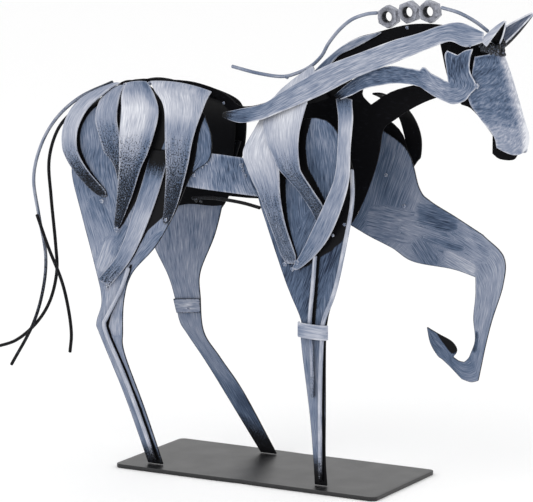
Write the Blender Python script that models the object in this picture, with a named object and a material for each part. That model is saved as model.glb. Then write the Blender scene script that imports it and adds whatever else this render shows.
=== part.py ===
"""Walking horse made of cut plates, bent strips and round rod, standing on a flat base plate.

+X points to the head, -Y to the near side, +Z up. The origin is the middle of the base plate's underside.
The figure is drawn in squares: its height from the soles to the far ear's tip is 240 squares, and
every outline gives x and z in squares, with z from the soles. Sheet, rod, nuts and base keep their own sizes.
"""
import math

import bmesh
import bpy
import numpy as np

# Driving sizes, in metres
FIGURE_HEIGHT = 0.240      # soles to the tip of the far ear
SHEET = 0.0009             # thickness of every plate and strip
GAP = 0.0003               # clearance between pieces that touch
CROWN = 0.0005             # rise of a strip's middle above its edges
BASE_LENGTH = 0.152
BASE_WIDTH = 0.068
BASE_THICKNESS = 0.002
BASE_CORNER = 0.003        # corner radius of the base plate
TAIL_ROD = 0.0018          # diameter of the tail and mane rods
LEG_ROD = 0.0022           # diameter of the rods on the legs
NUT_FLATS = 0.010          # width of a nut across its flats
NUT_BORE = 0.005
NUT_THICKNESS = 0.005
BRACELET_HEIGHT = 0.0075

SQUARE = FIGURE_HEIGHT / 240
TRACK = 49 * SQUARE            # middle of the near leg plates to the middle of the far ones
HAUNCH_HALF = 28.5 * SQUARE    # half the width over the haunch strips
SHOULDER_HALF = 31 * SQUARE    # half the width over the shoulder strips
WIDEST = 161                   # height of the widest line of the body, in squares
ARCH = 0.75                    # below 1 the body's arch is squarer than an ellipse
ARCH_ROWS = 14                 # rows of points down an arched strip
FACE_HALF = 10                 # half the width of the face over its cheeks, in squares
LEAN_START = 165               # height where the hind plates begin to lean in, in squares
LINING = 4.5                   # how far the hind plates stay below the spine of the strips, in squares

SOLE = BASE_THICKNESS + GAP
LEG_FACE = TRACK / 2 + SHEET / 2
SEAT = LEG_FACE + GAP + SHEET / 2       # middle of a strip that lies on a leg plate
LAYER = SHEET + GAP + CROWN             # step from one strip to the strip lying over it
ROD_SEAT = LEG_FACE + GAP + LEG_ROD / 2
BAND_SEAT = TRACK / 2 - SHEET - GAP     # belly bands lie inside the leg plates
JAW_SEAT = FACE_HALF * SQUARE + SHEET + GAP
NUT_CORNERS = NUT_FLATS / math.cos(math.radians(30))
NEAR, FAR = -1, 1


def clear_scene():
    """Remove every object that the file starts with."""
    for item in list(bpy.data.objects):
        bpy.data.objects.remove(item, do_unlink=True)


def paint(name, colour, roughness, metallic=0.3):
    """A material of one colour."""
    material = bpy.data.materials.new(name)
    material.use_nodes = True
    shader = material.node_tree.nodes["Principled BSDF"]
    shader.inputs["Base Color"].default_value = (*colour, 1.0)
    shader.inputs["Roughness"].default_value = roughness
    shader.inputs["Metallic"].default_value = metallic
    return material


def smooth(points, steps=5):
    """A Catmull-Rom curve through the points, as an array with `steps` parts to each span."""
    knots = np.array(points, float)
    knots = np.vstack([2 * knots[0] - knots[1], knots, 2 * knots[-1] - knots[-2]])
    share = np.linspace(0, 1, steps, endpoint=False)[:, None]
    spans = []
    for a, b, c, d in zip(knots, knots[1:], knots[2:], knots[3:]):
        bend = 2 * a - 5 * b + 4 * c - d
        spans.append(b + share * (c - a) / 2 + share**2 * bend / 2 + share**3 * (3 * b - a - 3 * c + d) / 2)
    return np.vstack([*spans, knots[-2:-1]])


def at_share(points, share):
    """Read the smooth curve through the points at shares of its knots, 0 to 1."""
    line = smooth(points, 12)
    place = np.linspace(0, 1, len(line))
    return np.stack([np.interp(share, place, column) for column in line.T], axis=-1)


def finish(name, mesh, material, rounded=False):
    """Put a mesh in the scene as one named object with its own material."""
    body = bpy.data.objects.new(name, mesh)
    bpy.context.scene.collection.objects.link(body)
    own = material.copy()
    own.name = name
    mesh.materials.append(own)
    if rounded:
        mesh.shade_smooth()
        mesh.set_sharp_from_angle(angle=math.radians(35))
    return body


def cut_plate(name, runs, middle, thickness, material, flat=False):
    """A plate cut to an outline of smooth runs that meet at corners.

    It stands upright with its middle at y = middle, or lies flat with its underside there.
    """
    outline = np.vstack([smooth(run, 3)[:-1] if len(run) > 2 else np.array(run[:-1], float) for run in runs])
    shell = bmesh.new()
    first = middle if flat else middle - thickness / 2
    place = (lambda u, v: (u, v, first)) if flat else (lambda u, v: (u * SQUARE, first, v * SQUARE + SOLE))
    loop = [shell.verts.new(place(u, v)) for u, v in outline]
    edges = [shell.edges.new(pair) for pair in zip(loop, loop[1:] + loop[:1])]
    bmesh.ops.triangle_fill(shell, use_beauty=True, edges=edges)
    grown = bmesh.ops.extrude_face_region(shell, geom=list(shell.faces))
    moved = [part for part in grown["geom"] if isinstance(part, bmesh.types.BMVert)]
    bmesh.ops.translate(shell, verts=moved, vec=(0, 0, thickness) if flat else (0, thickness, 0))
    bmesh.ops.recalc_face_normals(shell, faces=list(shell.faces))
    mesh = bpy.data.meshes.new(name)
    shell.to_mesh(mesh)
    shell.free()
    return finish(name, mesh, material)


def bent_sheet(name, grid, material):
    """A closed sheet of even thickness about a grid of points, shape (rows, columns, 3)."""
    rows, columns = grid.shape[:2]
    across = np.gradient(grid, axis=1)
    along = np.gradient(grid, axis=0)
    normal = np.cross(along, across)
    normal /= np.linalg.norm(normal, axis=2, keepdims=True)
    points = np.vstack([(grid + normal * SHEET / 2).reshape(-1, 3), (grid - normal * SHEET / 2).reshape(-1, 3)])
    index = np.arange(rows * columns).reshape(rows, columns)
    quads = np.stack([index[:-1, :-1], index[1:, :-1], index[1:, 1:], index[:-1, 1:]], axis=-1).reshape(-1, 4)
    rim = np.concatenate([index[0, :-1], index[:-1, -1], index[-1, :0:-1], index[:0:-1, 0]])
    following = np.roll(rim, -1)
    back = rows * columns
    walls = np.stack([rim, following, following + back, rim + back], axis=-1)
    faces = np.vstack([quads, quads[:, ::-1] + back, walls])
    mesh = bpy.data.meshes.new(name)
    mesh.from_pydata(points.tolist(), [], faces.tolist())
    shell = bmesh.new()
    shell.from_mesh(mesh)
    bmesh.ops.recalc_face_normals(shell, faces=list(shell.faces))
    shell.to_mesh(mesh)
    shell.free()
    return finish(name, mesh, material, rounded=True)


def leaning_plate(name, side, rear, front, top, material):
    """A leg plate between a rear and a front edge that leans in above the widest line, under the strips.

    The edges run up from the sole as (x, z) squares; `top` joins them from rear to front. The lean follows
    the body's arch, LINING squares below the strips' own spine.
    """
    share = np.linspace(0, 1, 2 * len(rear) - 1)
    across = np.linspace(0, 1, 5)
    one, other = at_share(rear, share), at_share(front, share)
    grid = one[:, None] * (1 - across[None, :, None]) + other[:, None] * across[None, :, None]
    grid += (share ** 2)[:, None, None] * (at_share(top, across) - grid[-1])
    x, z = grid[..., 0], grid[..., 1]
    climb = np.clip((z - LEAN_START) / (spine_height(x) - LINING - LEAN_START), 0, 0.97)
    y = side * TRACK / 2 * np.sqrt(1 - climb ** 2) ** ARCH
    return bent_sheet(name, np.stack([x * SQUARE, y, z * SQUARE + SOLE], axis=-1), material)


def strip_between(name, upper, lower, material, side=NEAR, rows=18):
    """A strip between two smooth edges, given as (x, outward, z) in squares, with a crown across it."""
    share = np.linspace(0, 1, rows)
    edges = [at_share(edge, share) * SQUARE for edge in (upper, lower)]
    for edge in edges:
        edge[:, 2] += SOLE
        edge[:, 1] *= side
    width = np.linspace(0, 1, 3)[None, :, None]
    grid = edges[0][:, None] * (1 - width) + edges[1][:, None] * width
    grid[:, 1, 1] += side * CROWN
    return bent_sheet(name, grid, material)


def arch_strip(name, side, half, top, rows, foot, layer, material, seat=0):
    """A strip laid over the body's arch.

    Each row gives how far down the strip is (0 at the spine, 1 at the widest line, 2 at its foot) and
    the x of its rear and front edges. `top` gives the spine's height at x. The foot lies on the leg
    plate, or `seat` layers above it; the rest is `layer` layers out from the body.
    """
    down, rear, front = at_share(rows, np.linspace(0, 1, ARCH_ROWS)).T
    width = np.linspace(0, 1, 3)
    x = rear[:, None] * (1 - width) + front[:, None] * width
    angle = np.minimum(down, 1)[:, None] * math.pi / 2
    fall = np.maximum(down - 1, 0)[:, None]
    out = half + layer * LAYER
    foot_out = SEAT + seat * LAYER
    over = out * np.sin(angle) ** ARCH
    under = foot_out + (out - foot_out) * (1 + np.cos(math.pi * fall)) / 2
    y = np.where(fall > 0, under, over) + 0 * x
    widest = WIDEST * SQUARE
    rise = (top(x) - WIDEST) * SQUARE + layer * LAYER
    z = np.where(fall > 0, widest - (WIDEST - foot) * SQUARE * fall, widest + rise * np.cos(angle))
    grid = np.stack([x * SQUARE, side * y, z + SOLE], axis=-1)
    grid[:, 1, 1] += side * CROWN * np.sin(angle[:, 0])
    grid[:, 1, 2] += CROWN * np.cos(angle[:, 0])
    return bent_sheet(name, grid, material)


def rod(name, points, middle, diameter, material, spacing=0.008):
    """A round rod along a smooth path of (x, z) squares at one y."""
    path = smooth(points, 8)
    length = np.concatenate([[0], np.cumsum(np.linalg.norm(np.diff(path, axis=0), axis=1))]) * SQUARE
    stops = np.linspace(0, length[-1], max(3, round(length[-1] / spacing) + 1))
    curve = bpy.data.curves.new(name, "CURVE")
    curve.dimensions = "3D"
    curve.bevel_depth = diameter / 2
    curve.bevel_resolution = 2
    curve.use_fill_caps = True
    spline = curve.splines.new("POLY")
    spline.points.add(len(stops) - 1)
    for point, stop in zip(spline.points, stops):
        x, z = (np.interp(stop, length, column) for column in path.T)
        point.co = (x * SQUARE, middle, z * SQUARE + SOLE, 1.0)
    body = bpy.data.objects.new(name, curve)
    bpy.context.scene.collection.objects.link(body)
    own = material.copy()
    own.name = name
    curve.materials.append(own)
    return body


def base_plate(material):
    """The flat base plate with small round corners."""
    outline = []
    for number in range(4):
        turn = math.radians(90 * number)
        sign_x = 1 if number in (0, 3) else -1
        sign_y = 1 if number in (0, 1) else -1
        middle = (sign_x * (BASE_LENGTH / 2 - BASE_CORNER), sign_y * (BASE_WIDTH / 2 - BASE_CORNER))
        for step in range(5):
            angle = turn + math.radians(90) * step / 4
            outline.append((middle[0] + BASE_CORNER * math.cos(angle), middle[1] + BASE_CORNER * math.sin(angle)))
    runs = [[a, b] for a, b in zip(outline, outline[1:] + outline[:1])]
    cut_plate("base_plate", runs, 0.0, BASE_THICKNESS, material, flat=True)


def leg_plates(material):
    """The four leg plates, each cut with its haunch or shoulder in one piece."""
    near_rear = [(-61, 0), (-75, 34), (-90, 65), (-92, 71), (-89, 80), (-89, 87), (-91, 95), (-95, 109),
                 (-101, 129), (-106, 147), (-105.5, 160), (-105, 170), (-103, 177)]
    near_front = [(-52, 0), (-63, 28), (-75, 56), (-76, 68), (-75, 85), (-70, 99), (-56, 114), (-45, 131),
                  (-41, 139), (-34, 153), (-25.5, 160), (-25.5, 171), (-31, 182.5)]
    near_top = [(-103, 177), (-88, 187.5), (-64, 190.5), (-46, 188), (-31, 182.5)]
    leaning_plate("near_hind_leg", NEAR, near_rear, near_front, near_top, material)
    far_rear = [(-21.5, 0), (-51.5, 41), (-66, 59), (-71, 66), (-74, 79), (-78, 90), (-86, 104), (-94, 122),
                (-95, 146), (-92, 168)]
    far_front = [(-12, 0), (-32, 31), (-46, 48), (-56, 61), (-58, 79), (-58, 93), (-49, 114), (-43, 136),
                 (-38, 157), (-35.5, 183)]
    far_top = [(-92, 168), (-84, 182), (-68, 187.5), (-51, 187.5), (-35.5, 183)]
    leaning_plate("far_hind_leg", FAR, far_rear, far_front, far_top, material)
    near_fore = [
        [(37, 0), (36, 15), (34, 36), (29, 72), (29, 83), (23, 96), (19, 105), (9, 131), (4, 146), (4, 160),
         (11, 173), (20, 180), (28, 184), (36, 186), (43, 185), (48, 181)],
        [(48, 181), (55, 170), (59, 155), (57, 138), (53, 126), (47, 97), (44, 85), (43, 72), (43, 36), (43, 15),
         (44, 0)],
        [(44, 0), (37, 0)]]
    cut_plate("near_fore_leg", near_fore, NEAR * TRACK / 2, SHEET, material)
    raised_fore = [
        [(31, 125), (37, 135), (41, 152), (44, 165), (46, 177)],
        [(46, 177), (54, 172.5), (63, 166), (68, 158), (70, 147), (74, 142), (90, 134), (114, 121), (118, 112), (117, 101),
         (113, 91), (108, 71), (104, 51)],
        [(104, 51), (100, 50), (95, 51)],
        [(95, 51), (88, 57), (81, 62), (77, 68), (75, 76)],
        [(75, 76), (82, 73), (89, 70), (92, 66), (90, 62)],
        [(90, 62), (96, 60), (99, 63), (102, 72), (101, 83), (102, 94), (102, 104)],
        [(102, 104), (89, 107), (67, 109), (55, 115), (31, 125)]]
    cut_plate("raised_fore_leg", raised_fore, FAR * TRACK / 2, SHEET, material)


def spine_height(x):
    """Height of the spine over the haunch, in squares."""
    return 197.3 - 0.004 * (x + 62) ** 2


def withers_height(x):
    """Height of the rising withers, in squares."""
    return 188.5 + 0.72 * (x + 1)


def throat_height(x):
    """Height that the front shoulder strips start from, in squares."""
    return 195 + 0 * x


HAUNCH_ROWS = {
    1: [(0.08, -95, -88), (0.3, -105, -91), (0.55, -109, -98), (0.85, -110, -101), (1.2, -107, -98),
        (1.55, -101, -92), (1.96, -91, -82)],
    2: [(0.10, -93, -84), (0.4, -93, -81), (0.65, -92, -79), (0.9, -87, -75), (1.3, -80, -72), (1.9, -77, -73)],
    3: [(0.14, -82, -70), (0.4, -79, -59), (0.6, -76, -54), (0.85, -75, -55.5), (1.15, -75, -62),
        (1.5, -77, -68), (1.95, -80, -77)],
    4: [(0.12, -68, -32), (0.3, -57.5, -30.5), (0.5, -51.5, -30), (0.75, -48.5, -31.5), (1.15, -47, -35),
        (1.6, -49, -41), (1.93, -51, -47)]}
FAR_HAUNCH_4 = [(0.3, -61, -50), (0.42, -55, -35), (0.55, -50.5, -31.5)] + HAUNCH_ROWS[4][3:]
HAUNCH_FEET = {1: 137, 2: 144, 3: 120, 4: 124}
HAUNCH_LAYERS = {1: 0, 2: -1, 3: 0, 4: 0}


def haunch_strips(material, dark):
    """Four strips over the arch of each haunch, and a fifth that lies flat along the leg plate."""
    for side, word, look in ((NEAR, "near", material), (FAR, "far", dark)):
        for number, rows in HAUNCH_ROWS.items():
            over_fifth = side == FAR and number == 4
            arch_strip(f"{word}_haunch_strip_{number}", side, HAUNCH_HALF, spine_height,
                       FAR_HAUNCH_4 if over_fifth else rows, HAUNCH_FEET[number], HAUNCH_LAYERS[number], look,
                       seat=1 if over_fifth else 0)
        forward = 12 if side == FAR else 0
        seat = SEAT / SQUARE
        rear = [(-57 + forward, seat, 164), (-66 + forward, seat, 138), (-77 + forward, seat, 110),
                (-90 + forward, seat, 94)]
        front = [(-46 + forward, seat, 164), (-56 + forward, seat, 135), (-69 + forward, seat, 108),
                 (-83 + forward, seat, 91)]
        strip_between(f"{word}_haunch_strip_5", rear, front, look, side, rows=14)


SHOULDER_ROWS = {
    (NEAR, 1): [(0.15, 4, 12), (0.4, 7, 17), (0.6, 4, 19), (0.85, -1, 19.5), (1.05, 2, 20), (1.3, 8, 20),
                (1.6, 13, 22), (1.96, 19.5, 28)],
    (NEAR, 2): [(0.15, 12, 29), (0.4, 10, 31.5), (0.6, 9.5, 32), (0.8, 13, 30), (1.0, 20, 32), (1.35, 30, 39),
                (1.7, 36, 44), (1.95, 39, 42)],
    (NEAR, 3): [(0.22, 43, 52), (0.5, 50, 58), (0.8, 53, 60), (1.05, 52, 60), (1.3, 46, 56), (1.6, 37, 48),
                (1.8, 32, 40), (1.97, 27.5, 30)],
    (FAR, 1): [(0.15, 4, 12), (0.4, 7, 17), (0.7, 5, 21), (1.0, 9, 27), (1.3, 18, 33), (1.6, 28, 40),
               (1.95, 38, 44)],
    (FAR, 2): [(0.15, 12, 24), (0.4, 13, 30), (0.7, 18, 36), (1.0, 28, 43), (1.4, 40, 51), (1.95, 49, 54)],
    (FAR, 3): [(0.22, 48, 55), (0.5, 55, 63), (0.75, 57.5, 67), (0.95, 58.5, 67), (1.2, 58, 64),
               (1.96, 55, 58.5)]}
SHOULDER_FEET = {(NEAR, 1): 110, (NEAR, 2): 131, (NEAR, 3): 108, (FAR, 1): 130, (FAR, 2): 138, (FAR, 3): 146}


def shoulder_strips(material, dark):
    """Three strips over the arch of each shoulder; each lies over the one behind it."""
    for (side, number), rows in SHOULDER_ROWS.items():
        word, look = ("near", material) if side == NEAR else ("far", dark)
        top = throat_height if number == 3 else withers_height
        seat = 1 if number == 3 else 0
        arch_strip(f"{word}_shoulder_strip_{number}", side, SHOULDER_HALF, top, rows,
                   SHOULDER_FEET[side, number], min(number - 1, 1), look, seat)
    brace = [[(45, 180), (52, 180), (60, 173), (64, 160)], [(64, 160), (57, 165), (50, 170), (44, 175)],
             [(44, 175), (45, 180)]]
    cut_plate("far_shoulder_brace", brace, FAR * SEAT, SHEET, dark)


def belly_bands(material, dark):
    """The two bands that join the haunch to the shoulder, and the rod under them."""
    near = [[(-44, 164), (-24, 164), (-5, 163), (7, 162)], [(7, 162), (6, 144)],
            [(6, 144), (-17, 145), (-35, 146), (-44, 147)], [(-44, 147), (-44, 164)]]
    cut_plate("near_belly_band", near, NEAR * BAND_SEAT, SHEET, material)
    far = [[(-76, 152), (6, 152)], [(6, 152), (6, 138)], [(6, 138), (-22, 135), (-40, 135)], [(-40, 135), (-43, 130)],
           [(-43, 130), (-50, 129), (-64, 129), (-76, 126)], [(-76, 126), (-76, 152)]]
    cut_plate("far_belly_band", far, FAR * BAND_SEAT, SHEET, dark)
    rod("belly_rod", [(-36, 140), (-24, 141), (-8, 140), (4, 138)], NEAR * (BAND_SEAT - TAIL_ROD), TAIL_ROD, dark)


CREST = [(22, 205), (28, 211), (38, 219), (48, 224.5), (57, 227), (66, 229.7), (76, 232.1), (87, 232.9),
         (97, 232.3), (106, 230), (114, 226)]


def crest_height(x):
    """Height of the crest of the neck at x, in squares."""
    line = smooth(CREST, 12)
    return float(np.interp(x, line[:, 0], line[:, 1]))


def neck_and_head(material, dark):
    """Upright middle plates of the neck, head, chest and back, and the bent sheets on them."""
    crest = [CREST, [(114, 226), (121, 225), (124, 220)],
             [(124, 220), (128, 210), (132, 199.5), (136, 188), (138.3, 181), (137.5, 176), (135.5, 171.5)],
             [(135.5, 171.5), (133, 168.5), (126, 168.5), (122, 171)],
             [(122, 171), (122, 180)], [(122, 180), (116, 187), (110, 192.5), (105, 194)],
             [(105, 194), (101, 200), (97, 208), (93, 224)],
             [(93, 224), (85, 222.5), (66, 215.5), (50, 208), (36, 200), (22, 191)], [(22, 191), (22, 205)]]
    cut_plate("neck_and_head_plate", crest, 0.0, SHEET, dark)
    chest = [[(24, 190.2), (35, 194.5), (45, 200), (52, 202.4)], [(52, 202.4), (50, 196), (53, 192.5), (55, 191)],
             [(55, 191), (66, 198), (78, 202), (85, 203)], [(85, 203), (96, 201), (98.5, 199)],
             [(98.5, 199), (87, 195), (77, 190), (68, 184), (62, 179), (60, 168), (57, 157), (51, 142), (45, 131)],
             [(45, 131), (38, 127), (26, 138), (15.5, 160), (13, 178), (18, 188.5), (24, 190.2)]]
    cut_plate("chest_plate", chest, 0.0, SHEET, dark)
    spine = [[(-96, 191), (-83, 196), (-67, 197), (-51, 197), (-41, 195.5), (-32, 193), (-26, 190), (-20, 186),
              (-10, 187), (4, 192)],
             [(4, 192), (3, 188), (-8, 182), (-18, 180), (-26, 183), (-33, 189), (-42, 192.5), (-52, 194.3),
              (-67, 194.4), (-83, 193.4), (-96, 188.6)], [(-96, 188.6), (-96, 191)]]
    cut_plate("back_plate", spine, 0.0, SHEET, dark)
    patch = [[(24, 206), (30, 211), (39, 218), (49, 223), (58, 226), (60, 227)],
             [(60, 227), (54, 223), (46, 219), (40, 215), (33, 208)], [(33, 208), (24, 206)]]
    cut_plate("crest_strip", patch, NEAR * (SHEET + GAP), SHEET, material)

    mane_upper = [(-15, 25.5, 185.5), (-5, 26, 188), (8, 26, 191), (19, 26, 196), (32, 25, 203.5), (41, 21, 209.5),
                  (58, 14, 219), (73, 11, 225), (85, 9.5, 228.5), (99, 8.5, 233), (110, 8, 235), (118, 8, 230.5)]
    mane_lower = [(-15, 26.5, 183.5), (-4, 28.5, 181.5), (9, 31, 184), (19, 31, 188), (33, 29, 194), (43, 24.5, 199),
                  (56, 18, 206.5), (74, 13.5, 214), (85, 11.5, 218.8), (95, 10.5, 223), (104, 10, 225.5),
                  (115.5, 9.5, 224.8)]
    strip_between("mane_strip", mane_upper, mane_lower, material, rows=26)
    jaw_out = JAW_SEAT / SQUARE
    throat_upper = [(43, 17, 196.5), (51, 15, 203), (58, 14, 207), (73, 12.5, 212), (80, 12, 212), (88, jaw_out, 211)]
    throat_lower = [(47, 18, 195), (53, 17, 197.5), (60, 15.5, 201), (74, 13, 204), (82, 12, 204), (88, jaw_out, 203)]
    strip_between("throat_strip", throat_upper, throat_lower, material)
    jaw = [[(89, 211.5), (96, 209), (103, 206)], [(103, 206), (102, 212), (101, 219), (102, 221.5)],
           [(102, 221.5), (108, 219.5)], [(108, 219.5), (112, 222), (116, 223)],
           [(116, 223), (114.5, 218), (114.5, 212), (118, 205)],
           [(118, 205), (115, 201), (112, 197.5), (106, 195.5), (100, 197), (94, 199.5), (89, 203)],
           [(89, 203), (89, 211.5)]]
    cut_plate("near_jaw", jaw, NEAR * JAW_SEAT, SHEET, material)
    far_jaw = [[(101.5, 217), (110, 219), (115, 222)], [(115, 222), (114.5, 212), (117, 205)],
               [(117, 205), (115, 201), (112, 197.5), (106, 195.5), (101.5, 197)], [(101.5, 197), (101.5, 217)]]
    cut_plate("far_jaw", far_jaw, FAR * JAW_SEAT, SHEET, dark)
    face_sheet(material)
    ear("near_ear", NEAR, (123.5, 6.5, 227.3), (131.3, 7, 238), 4.3, 19, material)
    ear("far_ear", FAR, (123, 7.5, 228.2), (138.8, 8, 240), 3.8, 105, material)


def face_sheet(material):
    """One sheet folded round the bridge of the nose, from the near cheek to the far one."""
    bridge = [(126, 221), (130, 212), (134, 201), (138, 189), (141, 181), (140, 174.5)]
    cheek = [(116, 219), (114.5, 208), (113.5, 198), (118.5, 190), (126, 181), (127.5, 175)]
    half = [9, 9.6, FACE_HALF, 9, 8, 7]
    share = np.linspace(0, 1, 10)
    middle = at_share(bridge, share)
    edge = at_share(cheek, share)
    width = at_share([(value,) for value in half], share)
    across = np.linspace(-1, 1, 9)
    away = np.abs(across) ** 1.7
    bulge = np.sign(across) * (1 - (1 - np.abs(across)) ** 1.5)
    flat = middle[:, None] * (1 - away[None, :, None]) + edge[:, None] * away[None, :, None]
    y = width * bulge[None, :]
    sag = 3 * share[:, None] ** 5 * np.sin(math.pi * np.abs(across[None, :]))
    grid = np.stack([flat[..., 0], y, flat[..., 1] - sag], axis=-1) * SQUARE
    grid[..., 2] += SOLE
    bent_sheet("face_sheet", grid, material)


def ear(name, side, base, tip, radius, turn, material):
    """A leaf of sheet curled into an ear from its base to its tip, in squares.

    Unturned it opens forwards and down; `turn` is how far it turns about its length, in degrees, so that
    its opening swings towards the near side.
    """
    share = np.linspace(0, 1, 9)[:, None, None]
    curl = np.radians(np.linspace(-115, 115, 9) + turn)[None, :, None]
    base = np.array(base, float) * (1, side, 1)
    tip = np.array(tip, float) * (1, side, 1)
    axis = (tip - base) / np.linalg.norm(tip - base)
    back = np.cross(axis, (0, 1, 0))
    back *= -math.copysign(1, back[0])
    aside = np.cross(axis, back)
    aside *= math.copysign(1, aside[1])
    reach = radius * (0.12 + 0.88 * (1 - share ** 1.6))
    grid = base + (tip - base) * share + reach * (np.cos(curl) * back + np.sin(curl) * aside)
    grid = grid * SQUARE
    grid[..., 2] += SOLE
    bent_sheet(name, grid, material)


def nuts(material):
    """Three hexagon nuts standing in a row on the crest."""
    pitch = NUT_FLATS * 1.1 + GAP
    for number, turn in enumerate((5, -8, 12), start=1):
        x = 76 * SQUARE + (number - 2) * pitch
        z = crest_height(x / SQUARE) * SQUARE + SOLE + GAP + NUT_CORNERS / 2
        shell = bmesh.new()
        rings = []
        for y in (-NUT_THICKNESS / 2, NUT_THICKNESS / 2):
            for reach, count, start in ((NUT_CORNERS / 2, 6, 90 + turn), (NUT_BORE / 2, 18, 0)):
                angles = [math.radians(start + 360 * k / count) for k in range(count)]
                rings.append([shell.verts.new((x + reach * math.cos(a), y, z + reach * math.sin(a))) for a in angles])
        for outer, inner in ((rings[0], rings[1]), (rings[2], rings[3])):
            edges = [shell.edges.new(pair) for ring in (outer, inner) for pair in zip(ring, ring[1:] + ring[:1])]
            bmesh.ops.triangle_fill(shell, use_beauty=True, edges=edges)
        for one, other in ((rings[0], rings[2]), (rings[1], rings[3])):
            for k in range(len(one)):
                shell.faces.new((one[k - 1], one[k], other[k], other[k - 1]))
        bmesh.ops.recalc_face_normals(shell, faces=list(shell.faces))
        mesh = bpy.data.meshes.new(f"crest_nut_{number}")
        shell.to_mesh(mesh)
        shell.free()
        finish(f"crest_nut_{number}", mesh, material, rounded=True)


def rods(material, dark):
    """Tail, mane and forelock rods, and the rods along the near legs."""
    beside = TAIL_ROD + GAP
    tail = [(-96, 194), (-116, 185), (-131, 173), (-141, 158), (-146, 140), (-143, 120), (-139, 99), (-141, 80),
            (-148, 60), (-162, 37)]
    rod("tail_rod_1", tail, 0.0, TAIL_ROD, material)
    second = [(-98, 191.5), (-110, 185.5), (-120, 178.5), (-131.5, 167), (-137.5, 150), (-136.5, 130), (-134, 105), (-133.5, 90), (-138, 74),
              (-147, 61), (-160, 50.5), (-175, 45)]
    rod("tail_rod_2", second, FAR * beside, TAIL_ROD, dark)
    third = [(-143, 121), (-136, 104), (-128, 87), (-124, 73), (-122, 59), (-123, 48)]
    rod("tail_rod_3", third, NEAR * beside, TAIL_ROD, dark)
    mane = [(-25, 206), (-10, 203.3), (4, 202.3), (13, 204.5), (21, 208.5), (27, 214), (31, 220.5), (37, 227.5),
            (44, 233), (52, 236), (58.5, 237)]
    rod("mane_rod", mane, 0.0, TAIL_ROD, material)
    rod("forelock_rod", [(94.5, 241), (103, 239), (112, 235), (119, 230.5)], 0.0, TAIL_ROD, material)
    hind = [(-72.3, 98), (-76.5, 89), (-84.5, 75), (-86.3, 71), (-84, 64), (-75.8, 48), (-66.7, 28), (-56, 2)]
    rod("near_hind_rod", hind, NEAR * ROD_SEAT, LEG_ROD, material)
    rear = [(37.3, 114), (36.3, 100), (34.8, 83), (36, 66), (36.5, 45)]
    rod("near_fore_rod_1", rear, NEAR * ROD_SEAT, LEG_ROD, material)
    front = [(58, 162), (58.5, 149), (57, 137), (51.5, 111), (48, 98), (42.5, 84), (41.5, 72), (40.7, 45), (41, 2)]
    rod("near_fore_rod_2", front, NEAR * ROD_SEAT, LEG_ROD, material)


def bracelets(material):
    """Bands across the near fore leg, bent over its rods, and across the far hind leg."""
    angles = np.radians(np.linspace(-88, 88, 13))[None, :]
    level = np.array([-0.5, 0.5])[:, None]
    over_rods = SHEET + LEG_ROD + 4 * GAP
    x = 36.5 * SQUARE + 8 * SQUARE * np.sign(np.sin(angles)) * np.abs(np.sin(angles)) ** 0.8 + 0 * level
    y = NEAR * (TRACK / 2 + over_rods * np.cos(angles) ** 0.4) + 0 * level
    z = 79 * SQUARE + SOLE + BRACELET_HEIGHT * level + 0.1 * (x - 36.5 * SQUARE)
    bent_sheet("near_fore_bracelet", np.stack([x, y, z], axis=-1), material)
    top = BRACELET_HEIGHT / SQUARE
    band = [[(-72, 70), (-57, 71.5)], [(-57, 71.5), (-58, 71.5 + top)], [(-58, 71.5 + top), (-74, 70 + top)],
            [(-74, 70 + top), (-72, 70)]]
    cut_plate("far_hind_bracelet", band, FAR * BAND_SEAT, SHEET, material)


def build():
    """Make the whole statue."""
    clear_scene()
    brushed = paint("brushed_grey", (0.45, 0.48, 0.55), 0.45)
    black = paint("black", (0.012, 0.012, 0.015), 0.4)
    steel = paint("grey_steel", (0.4, 0.4, 0.43), 0.4, 0.8)
    base_plate(black)
    leg_plates(brushed)
    haunch_strips(brushed, black)
    shoulder_strips(brushed, black)
    belly_bands(brushed, black)
    neck_and_head(brushed, black)
    nuts(steel)
    rods(steel, black)
    bracelets(brushed)


build()
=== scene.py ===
import math

import bmesh
import bpy
import numpy as np
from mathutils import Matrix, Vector

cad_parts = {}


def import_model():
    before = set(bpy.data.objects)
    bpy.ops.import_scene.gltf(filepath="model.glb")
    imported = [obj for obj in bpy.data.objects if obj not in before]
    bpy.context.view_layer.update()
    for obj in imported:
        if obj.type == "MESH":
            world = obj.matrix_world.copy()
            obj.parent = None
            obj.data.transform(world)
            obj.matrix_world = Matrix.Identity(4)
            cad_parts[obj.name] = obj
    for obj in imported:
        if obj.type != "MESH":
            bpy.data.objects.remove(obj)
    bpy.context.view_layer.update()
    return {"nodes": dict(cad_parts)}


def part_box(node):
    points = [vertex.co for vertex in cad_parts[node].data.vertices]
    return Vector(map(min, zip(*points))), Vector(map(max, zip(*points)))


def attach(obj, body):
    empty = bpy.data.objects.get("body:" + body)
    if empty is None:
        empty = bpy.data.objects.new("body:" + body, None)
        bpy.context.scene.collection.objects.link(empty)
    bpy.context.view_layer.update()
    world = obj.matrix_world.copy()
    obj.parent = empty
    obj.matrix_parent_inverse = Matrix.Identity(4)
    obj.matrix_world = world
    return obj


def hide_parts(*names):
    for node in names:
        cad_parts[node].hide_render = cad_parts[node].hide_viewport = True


bl_info = {
    "name": "Brushed strip horse",
    "version": (1, 0, 0),
    "blender": (4, 5, 0),
    "location": "3D View > Sidebar > Horse",
    "description": "Makes the brushed sheets, rods, nuts and welds of a walking horse over its packed frame",
    "category": "Add Mesh",
}

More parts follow.
